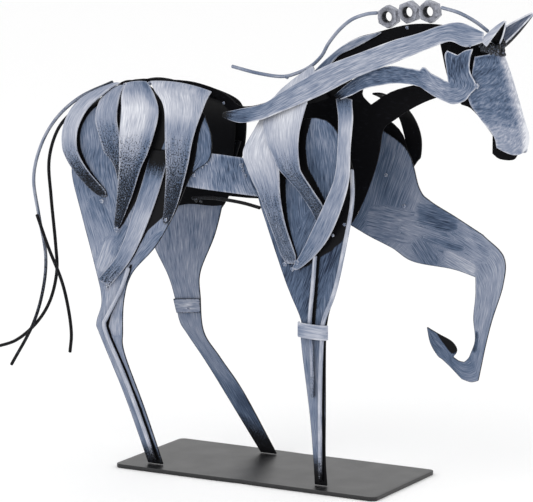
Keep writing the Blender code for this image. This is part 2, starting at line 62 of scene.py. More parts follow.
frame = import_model()
NEAR, FAR = -1, 1
HALF_TRACK = 24.5    # from the middle plane to a leg plate, in squares
WIDEST = 161         # height of the widest line of the body, in squares
ARCH = 0.75          # below 1 the arch of the body is squarer than an ellipse
LEAN_START = 165     # height where the hind plates begin to lean in, in squares
LINING = 4.5         # how far the hind plates stay below the spine of the strips, in squares
SHARP_EDGE = 50      # degrees between two faces from which their edge is shaded sharp
EDGE_FADE = 0.35     # share of a sheet's width over which the tone of its edge fades
RIM_PAINT = 0.6      # share of the rim's paint that the outermost line of a sheet's faces takes
FULL_RIM = 0.4       # cover from which the rim is painted in full
UNDER_AND_SHADOW_COVER = 0.08    # cover of a leg plate under a strip, and in the painted shadow beside strips and rods
UNDER_FADE = 0.0010  # metres beside a strip over which the cover of the leg plate comes in
DAB_FADE = 0.6       # share of a dab over which its tone and cover come in
ROD_END = 0.6        # length of a rod's domed end, in radii
ROD_SHADE = 0.25     # how much lighter a rod is on the near side than on the far side: painted light and shade
ROD_FAR_SHADE_COVER = 0.35      # share of the cover that is left on a rod's far side, as painted shade
THREAD_PITCH, THREAD_DEPTH = 0.0010, 0.00035   # of a nut, in metres
NUT_MOUTH = 0.0004   # depth and width of the bevel at a nut's bore, in metres
NUT_CHAMFER = 1.7    # how fast the cone of a nut's chamfer widens with the depth
SEED_STEP = 0.37     # metres between the stroke patterns of two pieces
seeds = iter(np.arange(1, 400) * SEED_STEP)

# Noise of the dry brush, in waves to a metre across and along the strokes
WANDER, FINE, BROAD, SPECK, PATCH = (30, 22, 0), (2000, 120), (620, 45), (1500, 1050, 0), (80, 48, 0)


# Sizes and colours

class HorseSizes(bpy.types.PropertyGroup):
    figure_height: bpy.props.FloatProperty(
        name="Figure height", description="From the soles to the tip of the far ear", default=0.240,
        subtype="DISTANCE", unit="LENGTH")
    sheet: bpy.props.FloatProperty(
        name="Sheet", description="Thickness of plates and strips", default=0.0009, precision=5, unit="LENGTH")
    gap: bpy.props.FloatProperty(
        name="Gap", description="Clearance between pieces that touch", default=0.0003, precision=5, unit="LENGTH")
    crown: bpy.props.FloatProperty(
        name="Crown", description="Rise of the middle of a strip", default=0.0005, precision=5, unit="LENGTH")
    edge_radius: bpy.props.FloatProperty(
        name="Edge radius", description="Rounding of a sheet's edges", default=0.00022, precision=5, unit="LENGTH")
    tail_rod: bpy.props.FloatProperty(
        name="Tail rod", description="Diameter of the tail and mane rods", default=0.0018, precision=5, unit="LENGTH")
    leg_rod: bpy.props.FloatProperty(
        name="Leg rod", description="Diameter of the rods on the legs", default=0.0022, precision=5, unit="LENGTH")
    nut_flats: bpy.props.FloatProperty(
        name="Nut", description="Width of a nut across its flats", default=0.010, precision=4, unit="LENGTH")
    nut_bore: bpy.props.FloatProperty(
        name="Nut bore", description="Diameter of a nut's bore", default=0.005, precision=4, unit="LENGTH")
    nut_thickness: bpy.props.FloatProperty(
        name="Nut thickness", description="Height of a nut", default=0.005, precision=4, unit="LENGTH")
    weld: bpy.props.FloatProperty(
        name="Weld", description="Radius of a weld bead", default=0.0010, precision=5, unit="LENGTH")


class HorseColours(bpy.types.PropertyGroup):
    black: bpy.props.FloatVectorProperty(
        name="Black", description="Base coat", default=(0.004, 0.004, 0.005), subtype="COLOR", size=3, min=0, max=1)
    navy: bpy.props.FloatVectorProperty(
        name="Navy", description="Darkest brushed tone", default=(0.014, 0.022, 0.046), subtype="COLOR", size=3,
        min=0, max=1)
    blue: bpy.props.FloatVectorProperty(
        name="Slate blue", description="Middle blue tone", default=(0.092, 0.132, 0.212), subtype="COLOR", size=3,
        min=0, max=1)
    lilac: bpy.props.FloatVectorProperty(
        name="Lilac grey", description="Light blue-grey tone", default=(0.255, 0.288, 0.375), subtype="COLOR", size=3,
        min=0, max=1)
    pale: bpy.props.FloatVectorProperty(
        name="Pale grey", description="Second lightest tone", default=(0.46, 0.48, 0.55), subtype="COLOR", size=3,
        min=0, max=1)
    white: bpy.props.FloatVectorProperty(
        name="Near white", description="Lightest brushed tone", default=(0.73, 0.745, 0.79), subtype="COLOR", size=3,
        min=0, max=1)
    steel: bpy.props.FloatVectorProperty(
        name="Steel", description="Colour of the nuts", default=(0.30, 0.31, 0.36), subtype="COLOR", size=3,
        min=0, max=1)
    floor: bpy.props.FloatVectorProperty(
        name="Floor", description="Colour of the floor", default=(0.98, 0.98, 0.98), subtype="COLOR", size=3,
        min=0, max=1)


class HorseStage(bpy.types.PropertyGroup):
    azimuth: bpy.props.FloatProperty(
        name="Azimuth", description="Turn of the camera round the horse", default=math.radians(29.1),
        subtype="ANGLE", unit="ROTATION")
    elevation: bpy.props.FloatProperty(
        name="Elevation", description="Height of the camera above level", default=math.radians(9.6),
        subtype="ANGLE", unit="ROTATION")
    distance: bpy.props.FloatProperty(
        name="Distance", description="From the camera to its target", default=1.635, unit="LENGTH")
    lens: bpy.props.FloatProperty(name="Lens", description="Focal length in millimetres", default=216.1)
    sky: bpy.props.FloatProperty(name="Sky", description="Strength of the even studio light", default=1.0)
    softbox: bpy.props.FloatProperty(name="Softbox", description="Power of the large lamp, in watts", default=4.0)


def sizes():
    return bpy.context.scene.horse_sizes


def square():
    """Length of one drawing square: the figure's height is 240 of them."""
    return sizes().figure_height / 240


def sole():
    """Height of the soles, a gap above the base plate."""
    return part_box("base_plate")[1][2] + sizes().gap


def track():
    """Distance from the middle plane to the middle of a leg plate."""
    return HALF_TRACK * square()


def spacing():
    """Distance between the middles of two sheets that lie on each other."""
    return sizes().sheet + sizes().gap


def seat():
    """Distance from the middle plane to the middle of a strip that lies on a leg plate."""
    return track() + spacing()


def from_soles(grid):
    """A grid of (x, y, z) squares in metres, with its heights counted from the soles."""
    grid = grid * square()
    grid[..., 2] += sole()
    return grid


# Curves

def through(points, share):
    """A curve through the points, read at shares of its knots from 0 to 1.

    Each span is a cubic whose slope at a knot is half the step between the knot's two neighbours.
    """
    knots = np.asarray(points, float)
    knots = np.vstack([2 * knots[0] - knots[1], knots, 2 * knots[-1] - knots[-2]])
    place = np.clip(np.asarray(share, float), 0, 1) * (len(knots) - 3)
    first = np.minimum(place.astype(int), len(knots) - 4)
    t = (place - first)[..., None]
    a, b, c, d = (knots[first + k] for k in range(4))
    return b + t * (c - a) / 2 + t**2 * (2 * a - 5 * b + 4 * c - d) / 2 + t**3 * (3 * b - a - 3 * c + d) / 2


def edge(runs, share):
    """Smooth runs that meet at corners, read as one edge at shares of all their spans."""
    spans = np.array([len(run) - 1 for run in runs])
    ends = np.cumsum(spans)
    place = np.asarray(share) * ends[-1]
    which = np.minimum(np.searchsorted(ends, place, side="left"), len(runs) - 1)
    result = np.zeros((len(place), len(runs[0][0])))
    for number, run in enumerate(runs):
        part = which == number
        result[part] = through(run, (place[part] - ends[number] + spans[number]) / spans[number])
    return result


def patch_between(left, right, near_end=None, far_end=None, steps=6, columns=15):
    """A grid bounded by four edges.

    Straight lines join the left and right edges; what the two end edges add to the first and last of
    those lines is shared out along the patch in proportion.
    """
    spans = sum(len(run) - 1 for run in left)
    share = np.linspace(0, 1, spans * steps + 1)
    across = np.linspace(0, 1, columns)
    one, other = edge(left, share), edge(right, share)
    grid = one[:, None] * (1 - across[None, :, None]) + other[:, None] * across[None, :, None]
    if near_end is not None:
        grid += ((1 - share) ** 2)[:, None, None] * (edge(near_end, across) - grid[0])[None]
    if far_end is not None:
        grid += (share ** 2)[:, None, None] * (edge(far_end, across) - grid[-1])[None]
    return grid


# Meshes

def draw_in(grid, radius):
    """The grid with its four borders moved inwards by the radius, along its own lines."""
    for turn in range(2):
        count = grid.shape[1] - 1
        step = np.linalg.norm(np.diff(grid, axis=1), axis=2)
        start = np.minimum(radius / np.maximum(step[:, 0] * count, 1e-9), 0.3)[:, None]
        end = np.minimum(radius / np.maximum(step[:, -1] * count, 1e-9), 0.3)[:, None]
        place = (start + (1 - start - end) * np.linspace(0, 1, count + 1)) * count
        low = np.clip(place.astype(int), 0, count - 1)
        t = (place - low)[..., None]
        row = np.arange(len(grid))[:, None]
        grid = (grid[row, low] * (1 - t) + grid[row, low + 1] * t).swapaxes(0, 1)
    return grid


def to_object(name, points, faces, grain, paint, material, node_names):
    """Put arrays into a mesh with its stroke and paint attributes, and let it stand for its CAD nodes."""
    mesh = bpy.data.meshes.new(name)
    mesh.from_pydata(points.tolist(), [], faces.tolist())
    mesh.attributes.new("grain", "FLOAT_VECTOR", "POINT").data.foreach_set("vector", grain.ravel())
    mesh.attributes.new("paint", "FLOAT_VECTOR", "POINT").data.foreach_set("vector", paint.ravel())
    shell = bmesh.new()
    shell.from_mesh(mesh)
    bmesh.ops.recalc_face_normals(shell, faces=shell.faces[:])
    shell.to_mesh(mesh)
    shell.free()
    mesh.shade_smooth()
    mesh.set_sharp_from_angle(angle=math.radians(SHARP_EDGE))
    mesh.materials.append(material)
    body = bpy.data.objects.new(name, mesh)
    bpy.context.scene.collection.objects.link(body)
    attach(body, "root")
    if node_names:
        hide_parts(*node_names)
    return body


class Look:
    """How a sheet is painted.

    rows: share along the sheet, tone (0 navy to 1 near white), cover (0 bare black to 1 full) and speckle.
    left, right, middle: what is added to the tone at the two long edges and along the middle. A darker edge is
    painted shade, and the middle is the painted highlight along the face's bridge.
    inside: the same rows for the back, which is left nearly bare without them.
    rim: tone and cover of the cut edge.
    turn: share of the strokes that run across, at shares along the sheet.
    slant: degrees that all strokes lean from the sheet's length.
    bend: bow of the strokes, as a share of the sheet's length.
    short: how many times shorter the strokes are.
    """

    def __init__(self, rows, left=0.0, right=0.0, middle=0.0, inside=None, rim=(0.8, 0.8), turn=((0, 0), (1, 0)),
                 bend=0.0, slant=0.0, short=1.0):
        self.rows = rows
        self.left = left
        self.right = right
        self.middle = middle
        self.inside = inside
        self.rim = rim
        self.turn = turn
        self.bend = bend
        self.slant = math.radians(slant)
        self.short = short

    def values(self, along, across, rows):
        """Tone, cover and speckle at shares along and across the sheet."""
        at, tone, cover, speckle = np.array(rows, float).T
        tone = np.interp(along, at, tone)
        by_left, by_right = (np.clip(1 - away / EDGE_FADE, 0, 1) for away in (across, 1 - across))
        # Edges made darker here are painted shade, and the middle band is a painted highlight
        tone = tone + self.left * by_left + self.right * by_right
        tone = tone + self.middle * np.clip(1.4 - np.abs(across - 0.5) / 0.12, 0, 1)
        return np.stack([tone, np.interp(along, at, cover), np.interp(along, at, speckle)], axis=-1)


BARE = [(0, 0.35, 0.10, 0.4), (1, 0.35, 0.10, 0.4)]


def brush_dabs(grid, grain, outer, dabs):
    """Patches of paint with strokes of their own on an upright plate.

    Each dab is (x, z, half length, half height, degrees, tone, cover) in squares. Inside a turned ellipse
    with squared sides the strokes run along its length. Towards its middle the tone is added, and the
    cover nears the dab's own.
    """
    size = square()
    grain = grain.copy()
    for x, z, length, height, degrees, tone, cover in dabs:
        away_x, away_z = grid[..., 0] - x * size, grid[..., 2] - sole() - z * size
        c, s = math.cos(math.radians(degrees)), math.sin(math.radians(degrees))
        along, across = away_x * c + away_z * s, away_z * c - away_x * s
        reach = (along / (length * size)) ** 4 + (across / (height * size)) ** 4
        seed = next(seeds)
        grain[reach < 1] = np.stack([across + seed, along, 0 * along], axis=-1)[reach < 1]
        weight = np.clip((1 - reach) / DAB_FADE, 0, 1)
        outer[..., 0] += weight * tone
        outer[..., 1] += weight * (cover - outer[..., 1])
    return grain


def sheet(name, grid, look, material, node_names=None, outward=(0, -1, 0), slot_name="brushed_paint",
          thickness=None, shade=None, dabs=()):
    """A closed sheet of even thickness about a grid, with rounded edges.

    Two copies of the grid stand half the thickness to either side along its normal. Round the border go
    four more rings, which follow a quarter circle out and down, the cut edge, and a quarter circle back in.
    The painted side faces outward. Shade gives a share of the cover at each point. Without other names the
    sheet stands for the node of its own name.
    """
    node_names = node_names or [name.removesuffix("_brushed")]
    half = (thickness or sizes().sheet) / 2
    radius = min(sizes().edge_radius, half)
    inner = draw_in(grid, radius)
    rows, columns = inner.shape[:2]
    normal = np.cross(np.gradient(inner, axis=0), np.gradient(inner, axis=1))
    normal /= np.maximum(np.linalg.norm(normal, axis=2, keepdims=True), 1e-12)
    if (normal * np.array(outward)).sum() < 0:
        normal = -normal
    index = np.arange(rows * columns).reshape(rows, columns)
    rim = np.concatenate([index[0, :-1], index[:-1, -1], index[-1, :0:-1], index[:0:-1, 0]])
    border = inner.reshape(-1, 3)[rim]
    raised = normal.reshape(-1, 3)[rim]
    way = np.cross(np.roll(border, -1, axis=0) - np.roll(border, 1, axis=0), raised)
    way /= np.maximum(np.linalg.norm(way, axis=1, keepdims=True), 1e-12)
    middle_row = columns - 1 + rows // 2
    if way[middle_row] @ (inner[rows // 2, -1] - inner[rows // 2, -2]) < 0:
        way = -way
    slope = math.sqrt(0.5) * radius
    rings = [(slope, half - radius + slope), (radius, half - radius), (radius, radius - half),
             (slope, radius - half - slope)]
    points = [inner.reshape(-1, 3) + normal.reshape(-1, 3) * half, inner.reshape(-1, 3) - normal.reshape(-1, 3) * half]
    points += [border + way * out + raised * up for out, up in rings]
    quads = np.stack([index[:-1, :-1], index[1:, :-1], index[1:, 1:], index[:-1, 1:]], axis=-1).reshape(-1, 4)
    total = rows * columns
    loops = [rim] + [2 * total + len(rim) * k + np.arange(len(rim)) for k in range(4)] + [rim + total]
    walls = [np.stack([a, np.roll(a, -1), np.roll(b, -1), b], axis=-1) for a, b in zip(loops, loops[1:])]
    faces = np.vstack([quads, quads[:, ::-1] + total, *walls])

    length = np.linalg.norm(np.diff(inner, axis=0), axis=2).mean(axis=1)
    run = np.concatenate([[0], np.cumsum(length)])
    along = np.repeat(run[:, None] / run[-1], columns, axis=1)
    across = np.repeat(np.linspace(0, 1, columns)[None], rows, axis=0)
    width = np.linalg.norm(inner[:, -1] - inner[:, 0], axis=1)
    spread = (width + width.mean())[:, None] / 2
    u = (across - 0.5) * spread + look.bend * np.sin(math.pi * along) * run[-1]
    turn = np.interp(along, *np.array(look.turn, float).T)
    seed = next(seeds)
    v = along * run[-1]
    c, s = math.cos(look.slant), math.sin(look.slant)
    grain = np.stack([u * c - v * s + seed, (v * c + u * s) * look.short, turn], axis=-1)
    outer = look.values(along, across, look.rows)
    grain = brush_dabs(inner, grain, outer, dabs).reshape(-1, 3)
    if shade is not None:
        outer[..., 1] *= shade(inner)
    back = look.values(along, across, look.inside or BARE)
    near_rim = np.zeros((rows, columns), bool)
    near_rim[[0, -1], :] = near_rim[:, [0, -1]] = True
    # A bare sheet keeps its rim in full, which gives the far ear its painted highlight
    painted = np.ones((rows, columns)) if look.rows is BARE else np.clip(outer[..., 1] / FULL_RIM, 0, 1)
    for values in (outer, back):
        values[near_rim, :2] += RIM_PAINT * painted[near_rim][:, None] * (np.array(look.rim) - values[near_rim, :2])
    outer, back = outer.reshape(-1, 3), back.reshape(-1, 3)
    cut = np.tile((*look.rim, 0.3), (len(rim), 1))
    cut[:, 1] *= painted.reshape(-1)[rim]
    paint = np.vstack([outer, back, cut, cut, cut, cut])
    grains = np.vstack([grain, grain + (0.11, 0, 0)] + [grain[rim]] * 4)
    return to_object(name, np.vstack(points), faces, grains, paint, material, node_names)


def lean(grid_xz, side):
    """A hind plate in metres: upright to LEAN_START squares, then leaning in under the strips.

    The lean is a squared quarter ellipse like the strips' own, LINING squares below their spine.
    """
    size = square()
    x, z = grid_xz[..., 0], grid_xz[..., 1]
    climb = np.clip((z - LEAN_START) / (spine_height(x) - LINING - LEAN_START), 0, 0.97)
    y = side * HALF_TRACK * size * np.sqrt(1 - climb ** 2) ** ARCH
    return np.stack([x * size, y, z * size + sole()], axis=-1)


def world(grid_xz, y):
    """A grid of (x, z) squares set upright at one y, in metres."""
    size = square()
    return np.stack([grid_xz[..., 0] * size, np.full(grid_xz.shape[:2], y), grid_xz[..., 1] * size + sole()], axis=-1)


def rod(name, points, middle, diameter, rows, material, node_names, sides=14):
    """A round rod: a circle carried along a smooth path at one y, with domed ends.

    At each end the circle shrinks to a point by the cosine of an angle while it moves out by its sine. The
    paint is lightest and fullest on the near side, by the cosine of the angle round the rod: painted light on
    the near side and painted shade on the far side.
    """
    size = square()
    share = np.linspace(0, 1, (len(points) - 1) * 10 + 1)
    path = through(points, share)
    path = np.stack([path[:, 0] * size, np.full(len(path), middle), path[:, 1] * size + sole()], axis=-1)
    along = np.gradient(path, axis=0)
    along /= np.linalg.norm(along, axis=1, keepdims=True)
    dome = np.radians([88, 60, 30])
    radius = diameter / 2
    soft = ROD_END * radius
    head = path[0] + along[0] * soft - along[0] * soft * np.sin(dome)[:, None]
    tail = path[-1] - along[-1] * soft + along[-1] * soft * np.sin(dome[::-1])[:, None]
    path = np.vstack([head, path[0] + along[0] * soft, path[1:-1], path[-1] - along[-1] * soft, tail])
    along = np.vstack([[along[0]] * 3, along, [along[-1]] * 3])
    thick = np.concatenate([np.cos(dome), np.ones(len(path) - 6), np.cos(dome[::-1])]) * radius
    aside = np.array([0.0, 1.0, 0.0])
    up = np.cross(along, aside)
    angle = np.linspace(0, 2 * math.pi, sides, endpoint=False)
    ring = np.cos(angle)[None, :, None] * aside + np.sin(angle)[None, :, None] * up[:, None]
    points = path[:, None] + thick[:, None, None] * ring
    count = len(path)
    index = np.arange(count * sides).reshape(count, sides)
    following = np.roll(index, -1, axis=1)
    quads = np.stack([index[:-1], following[:-1], following[1:], index[1:]], axis=-1).reshape(-1, 4)
    ends = [[index[0, 0]] + index[0, :0:-1].tolist(), index[-1].tolist()]
    run = np.concatenate([[0], np.cumsum(np.linalg.norm(np.diff(path, axis=0), axis=1))])
    place = np.repeat((run / run[-1])[:, None], sides, axis=1)
    at, tone, cover, speckle = np.array(rows, float).T
    # Painted light on the near side and painted shade on the far side, by the angle round the rod
    facing = 0.5 - 0.5 * np.cos(angle)[None]
    tone = np.interp(place, at, tone) + ROD_SHADE * (facing - 0.5)
    cover = np.interp(place, at, cover) * (ROD_FAR_SHADE_COVER + (1 - ROD_FAR_SHADE_COVER) * facing)
    paint = np.stack([tone, cover, np.interp(place, at, speckle)], axis=-1).reshape(-1, 3)
    around = np.repeat(radius * 2 * np.abs(angle - math.pi)[None], count, axis=0)
    grain = np.stack([around + next(seeds), place * run[-1], 0 * place], axis=-1).reshape(-1, 3)
    return to_object(name, points.reshape(-1, 3), Faces(quads, ends), grain, paint, material, node_names)


class Faces:
    """Quads as an array, with a few many-sided end faces."""

    def __init__(self, quads, ends):
        self.quads = quads
        self.ends = ends

    def tolist(self):
        return self.quads.tolist() + self.ends


# Materials

def maths(tree, operation, a, b=None, c=None, clamp=False):
    """One Math node; each value is a number or a socket."""
    node = tree.nodes.new("ShaderNodeMath")
    node.operation = operation
    node.use_clamp = clamp
    for socket, value in zip(node.inputs, (a, b, c)):
        if value is None:
            continue
        if isinstance(value, (int, float)):
            socket.default_value = value
        else:
            tree.links.new(value, socket)
    return node.outputs[0]


def noise(tree, vector, scale, detail=2.0, roughness=0.5):
    """A Noise Texture that is read at the vector times a scale for each axis."""
    stretch = tree.nodes.new("ShaderNodeVectorMath")
    stretch.operation = "MULTIPLY"
    stretch.inputs[1].default_value = scale
    tree.links.new(vector, stretch.inputs[0])
    node = tree.nodes.new("ShaderNodeTexNoise")
    node.inputs["Scale"].default_value = 1.0
    node.inputs["Detail"].default_value = detail
    node.inputs["Roughness"].default_value = roughness
    tree.links.new(stretch.outputs[0], node.inputs["Vector"])
    return node.outputs["Fac"]


def attribute(tree, name):
    """The vector that a mesh attribute holds, and its three parts."""
    node = tree.nodes.new("ShaderNodeAttribute")
    node.attribute_name = name
    parts = tree.nodes.new("ShaderNodeSeparateXYZ")
    tree.links.new(node.outputs["Vector"], parts.inputs[0])
    return node.outputs["Vector"], parts.outputs


def blend(tree, share, first, second):
    """A colour from the first to the second by the share; each colour is a socket or three numbers."""
    node = tree.nodes.new("ShaderNodeMix")
    node.data_type = "RGBA"
    tree.links.new(share, node.inputs[0])
    for socket, colour in ((node.inputs[6], first), (node.inputs[7], second)):
        if isinstance(colour, bpy.types.NodeSocket):
            tree.links.new(colour, socket)
        else:
            socket.default_value = (*colour, 1)
    return node.outputs[2]


def brush_group():
    """Dry-brushed paint over a black base coat.

    Long thin noise gives the strokes and even noise the speckle. Tone plus strokes picks the colour from
    navy to near white. The base coat shows where cover plus strokes and speckle falls under a half.
    """
    known = bpy.data.node_groups.get("dry_brush")
    if known:
        return known
    colours = bpy.context.scene.horse_colours
    tree = bpy.data.node_groups.new("dry_brush", "ShaderNodeTree")
    tree.interface.new_socket(name="Grain", in_out="INPUT", socket_type="NodeSocketVector")
    for name in ("Tone", "Cover", "Speckle", "Turn", "Strength"):
        tree.interface.new_socket(name=name, in_out="INPUT", socket_type="NodeSocketFloat").default_value = 0.5
    tree.interface.new_socket(name="Color", in_out="OUTPUT", socket_type="NodeSocketColor")
    for name in ("Roughness", "Height"):
        tree.interface.new_socket(name=name, in_out="OUTPUT", socket_type="NodeSocketFloat")
    source = tree.nodes.new("NodeGroupInput").outputs
    result = tree.nodes.new("NodeGroupOutput").inputs
    links = tree.links

    wander = noise(tree, source["Grain"], WANDER, 1.0)
    shift = tree.nodes.new("ShaderNodeCombineXYZ")
    links.new(maths(tree, "MULTIPLY", maths(tree, "SUBTRACT", wander, 0.5), 0.004), shift.inputs["X"])
    moved = tree.nodes.new("ShaderNodeVectorMath")
    moved.operation = "ADD"
    links.new(source["Grain"], moved.inputs[0])
    links.new(shift.outputs[0], moved.inputs[1])
    place = moved.outputs[0]

    def two_ways(fine, long, detail):
        lengthwise = noise(tree, place, (fine, long, 0), detail, 0.6)
        crosswise = noise(tree, place, (long, fine, 0), detail, 0.6)
        mixed = tree.nodes.new("ShaderNodeMix")
        links.new(source["Turn"], mixed.inputs["Factor"])
        links.new(lengthwise, mixed.inputs["A"])
        links.new(crosswise, mixed.inputs["B"])
        return maths(tree, "SUBTRACT", mixed.outputs["Result"], 0.5)

    fine = two_ways(*FINE, 3.0)
    broad = two_ways(*BROAD, 2.0)
    speck = maths(tree, "SUBTRACT", noise(tree, place, SPECK, 2.0, 0.7), 0.5)
    patch = maths(tree, "SUBTRACT", noise(tree, place, PATCH, 3.0), 0.5)

    strokes = maths(tree, "ADD", maths(tree, "MULTIPLY", fine, 1.3), maths(tree, "MULTIPLY", broad, 0.35))
    strokes = maths(tree, "ADD", strokes, maths(tree, "MULTIPLY", patch, 0.6))
    tone = maths(tree, "ADD", source["Tone"], maths(tree, "MULTIPLY", strokes, source["Strength"]), clamp=True)
    ramp = tree.nodes.new("ShaderNodeValToRGB")
    steps = ramp.color_ramp.elements
    steps[0].color = (*colours.navy, 1)
    steps[1].color = (*colours.white, 1)
    for at, colour in ((0.28, colours.blue), (0.55, colours.lilac), (0.78, colours.pale)):
        steps.new(at).color = (*colour, 1)
    links.new(tone, ramp.inputs["Fac"])

    level = maths(tree, "MULTIPLY_ADD", maths(tree, "SUBTRACT", source["Cover"], 0.5), 2.6, 0.5)
    level = maths(tree, "ADD", level, maths(tree, "MULTIPLY", fine, 1.6))
    spots = maths(tree, "MULTIPLY", maths(tree, "MULTIPLY", speck, source["Speckle"]), 7.0)
    mask = maths(tree, "ADD", level, spots, clamp=True)
    links.new(blend(tree, mask, colours.black, ramp.outputs["Color"]), result["Color"])
    rough = maths(tree, "MULTIPLY_ADD", mask, 0.16, 0.42)
    links.new(maths(tree, "MULTIPLY_ADD", broad, 0.2, rough), result["Roughness"])
    high = maths(tree, "ADD", maths(tree, "MULTIPLY", fine, 0.8), maths(tree, "MULTIPLY", mask, 0.35))
    links.new(maths(tree, "MULTIPLY_ADD", speck, 0.4, high), result["Height"])
    return tree


def new_material(name, metallic, specular, relief):
    """A Principled material with a Bump node; returns the material, its shader and the bump."""
    material = bpy.data.materials.new(name)
    material.use_nodes = True
    shader = material.node_tree.nodes["Principled BSDF"]
    shader.inputs["Metallic"].default_value = metallic
    shader.inputs["Specular IOR Level"].default_value = specular
    bump = material.node_tree.nodes.new("ShaderNodeBump")
    bump.inputs["Distance"].default_value = relief
    bump.inputs["Strength"].default_value = 0.6
    material.node_tree.links.new(bump.outputs["Normal"], shader.inputs["Normal"])
    return material, shader, bump


def brushed_paint(name="brushed_coat", strength=0.95, metallic=0.0, specular=0.12):
    """Black base coat brushed along each piece with the paint and grain attributes of its mesh."""
    known = bpy.data.materials.get(name)
    if known:
        return known
    material, shader, bump = new_material(name, metallic, specular, relief=0.00010)
    tree = material.node_tree
    brush = tree.nodes.new("ShaderNodeGroup")
    brush.node_tree = brush_group()
    brush.inputs["Strength"].default_value = strength
    grain, grain_parts = attribute(tree, "grain")
    tree.links.new(grain, brush.inputs["Grain"])
    tree.links.new(grain_parts["Z"], brush.inputs["Turn"])
    for output, socket in zip(attribute(tree, "paint")[1], ("Tone", "Cover", "Speckle")):
        tree.links.new(output, brush.inputs[socket])
    tree.links.new(brush.outputs["Color"], shader.inputs["Base Color"])
    tree.links.new(brush.outputs["Roughness"], shader.inputs["Roughness"])
    tree.links.new(brush.outputs["Height"], bump.inputs["Height"])
    return material


def black_paint(name="satin_black", specular=0.05, roughness=0.6, dust=0.2):
    """Satin black paint with faint scuffs, on Object coordinates."""
    known = bpy.data.materials.get(name)
    if known:
        return known
    colours = bpy.context.scene.horse_colours
    material, shader, bump = new_material(name, 0.0, specular, relief=0.00004)
    tree = material.node_tree
    place = tree.nodes.new("ShaderNodeTexCoord").outputs["Object"]
    scuff = noise(tree, place, (260, 260, 900), 4.0, 0.65)
    cloud = noise(tree, place, (60, 60, 60), 3.0)
    fine = noise(tree, place, (2600, 2600, 2600), 2.0)
    amount = maths(tree, "MULTIPLY", maths(tree, "SUBTRACT", scuff, 0.56, clamp=True), dust)
    amount = maths(tree, "MULTIPLY", amount, maths(tree, "MULTIPLY", cloud, 1.6), clamp=True)
    tree.links.new(blend(tree, amount, colours.black, colours.lilac), shader.inputs["Base Color"])
    tree.links.new(maths(tree, "MULTIPLY_ADD", cloud, 0.14, roughness - 0.07), shader.inputs["Roughness"])
    tree.links.new(fine, bump.inputs["Height"])
    return material


def nut_steel():
    """Grey steel with rough pale patches on Object coordinates, and painted shade where the paint attribute's X is
    high.
    """
    known = bpy.data.materials.get("nut_steel")
    if known:
        return known
    colours = bpy.context.scene.horse_colours
    material, shader, bump = new_material("nut_steel", metallic=0.55, specular=0.4, relief=0.00018)
    tree = material.node_tree
    place = tree.nodes.new("ShaderNodeTexCoord").outputs["Object"]
    rough = noise(tree, place, (520, 520, 520), 4.0, 0.7)
    grains = noise(tree, place, (1900, 1900, 1900), 3.0, 0.7)
    ramp = tree.nodes.new("ShaderNodeValToRGB")
    steps = ramp.color_ramp.elements
    steps[0].position = 0.27
    steps[0].color = (*(0.45 * Vector(colours.steel)), 1)
    steps[1].position = 0.74
    steps[1].color = (*colours.pale, 1)
    steps.new(0.5).color = (*colours.steel, 1)
    tree.links.new(maths(tree, "MULTIPLY_ADD", maths(tree, "SUBTRACT", grains, 0.5), 0.5, rough), ramp.inputs["Fac"])
    bore_shade = attribute(tree, "paint")[1]["X"]
    tree.links.new(blend(tree, bore_shade, ramp.outputs["Color"], colours.black), shader.inputs["Base Color"])
    tree.links.new(maths(tree, "MULTIPLY_ADD", rough, 0.35, 0.22), shader.inputs["Roughness"])
    tree.links.new(maths(tree, "ADD", rough, maths(tree, "MULTIPLY", grains, 0.5)), bump.inputs["Height"])
    return material


# Drawing of the figure, in squares

HAUNCH_HALF, SHOULDER_HALF = 28.5, 31
HAUNCH_ROWS = {
    1: [(0.08, -95, -88), (0.3, -105, -91), (0.55, -109, -98), (0.85, -110, -101), (1.2, -107, -98),
        (1.55, -101, -92), (1.96, -91, -82)],
    2: [(0.10, -93, -84), (0.4, -93, -81), (0.65, -92, -79), (0.9, -87, -75), (1.3, -80, -72), (1.9, -77, -73)],
    3: [(0.14, -82, -70), (0.4, -79, -59), (0.6, -76, -54), (0.85, -75, -55.5), (1.15, -75, -62),
        (1.5, -77, -68), (1.95, -80, -77)],
    4: [(0.12, -68, -32), (0.3, -61.5, -30.5), (0.5, -52.3, -30), (0.75, -48.5, -31.5), (1.15, -47, -35),
        (1.6, -49, -41), (1.93, -51, -47)]}
FAR_HAUNCH_4 = [(0.3, -61, -50), (0.42, -55, -35), (0.55, -50.5, -31.5)] + HAUNCH_ROWS[4][3:]
HAUNCH_FEET = {1: 137, 2: 144, 3: 120, 4: 124}
HAUNCH_LAYERS = {1: 0, 2: -1, 3: 0, 4: 0}
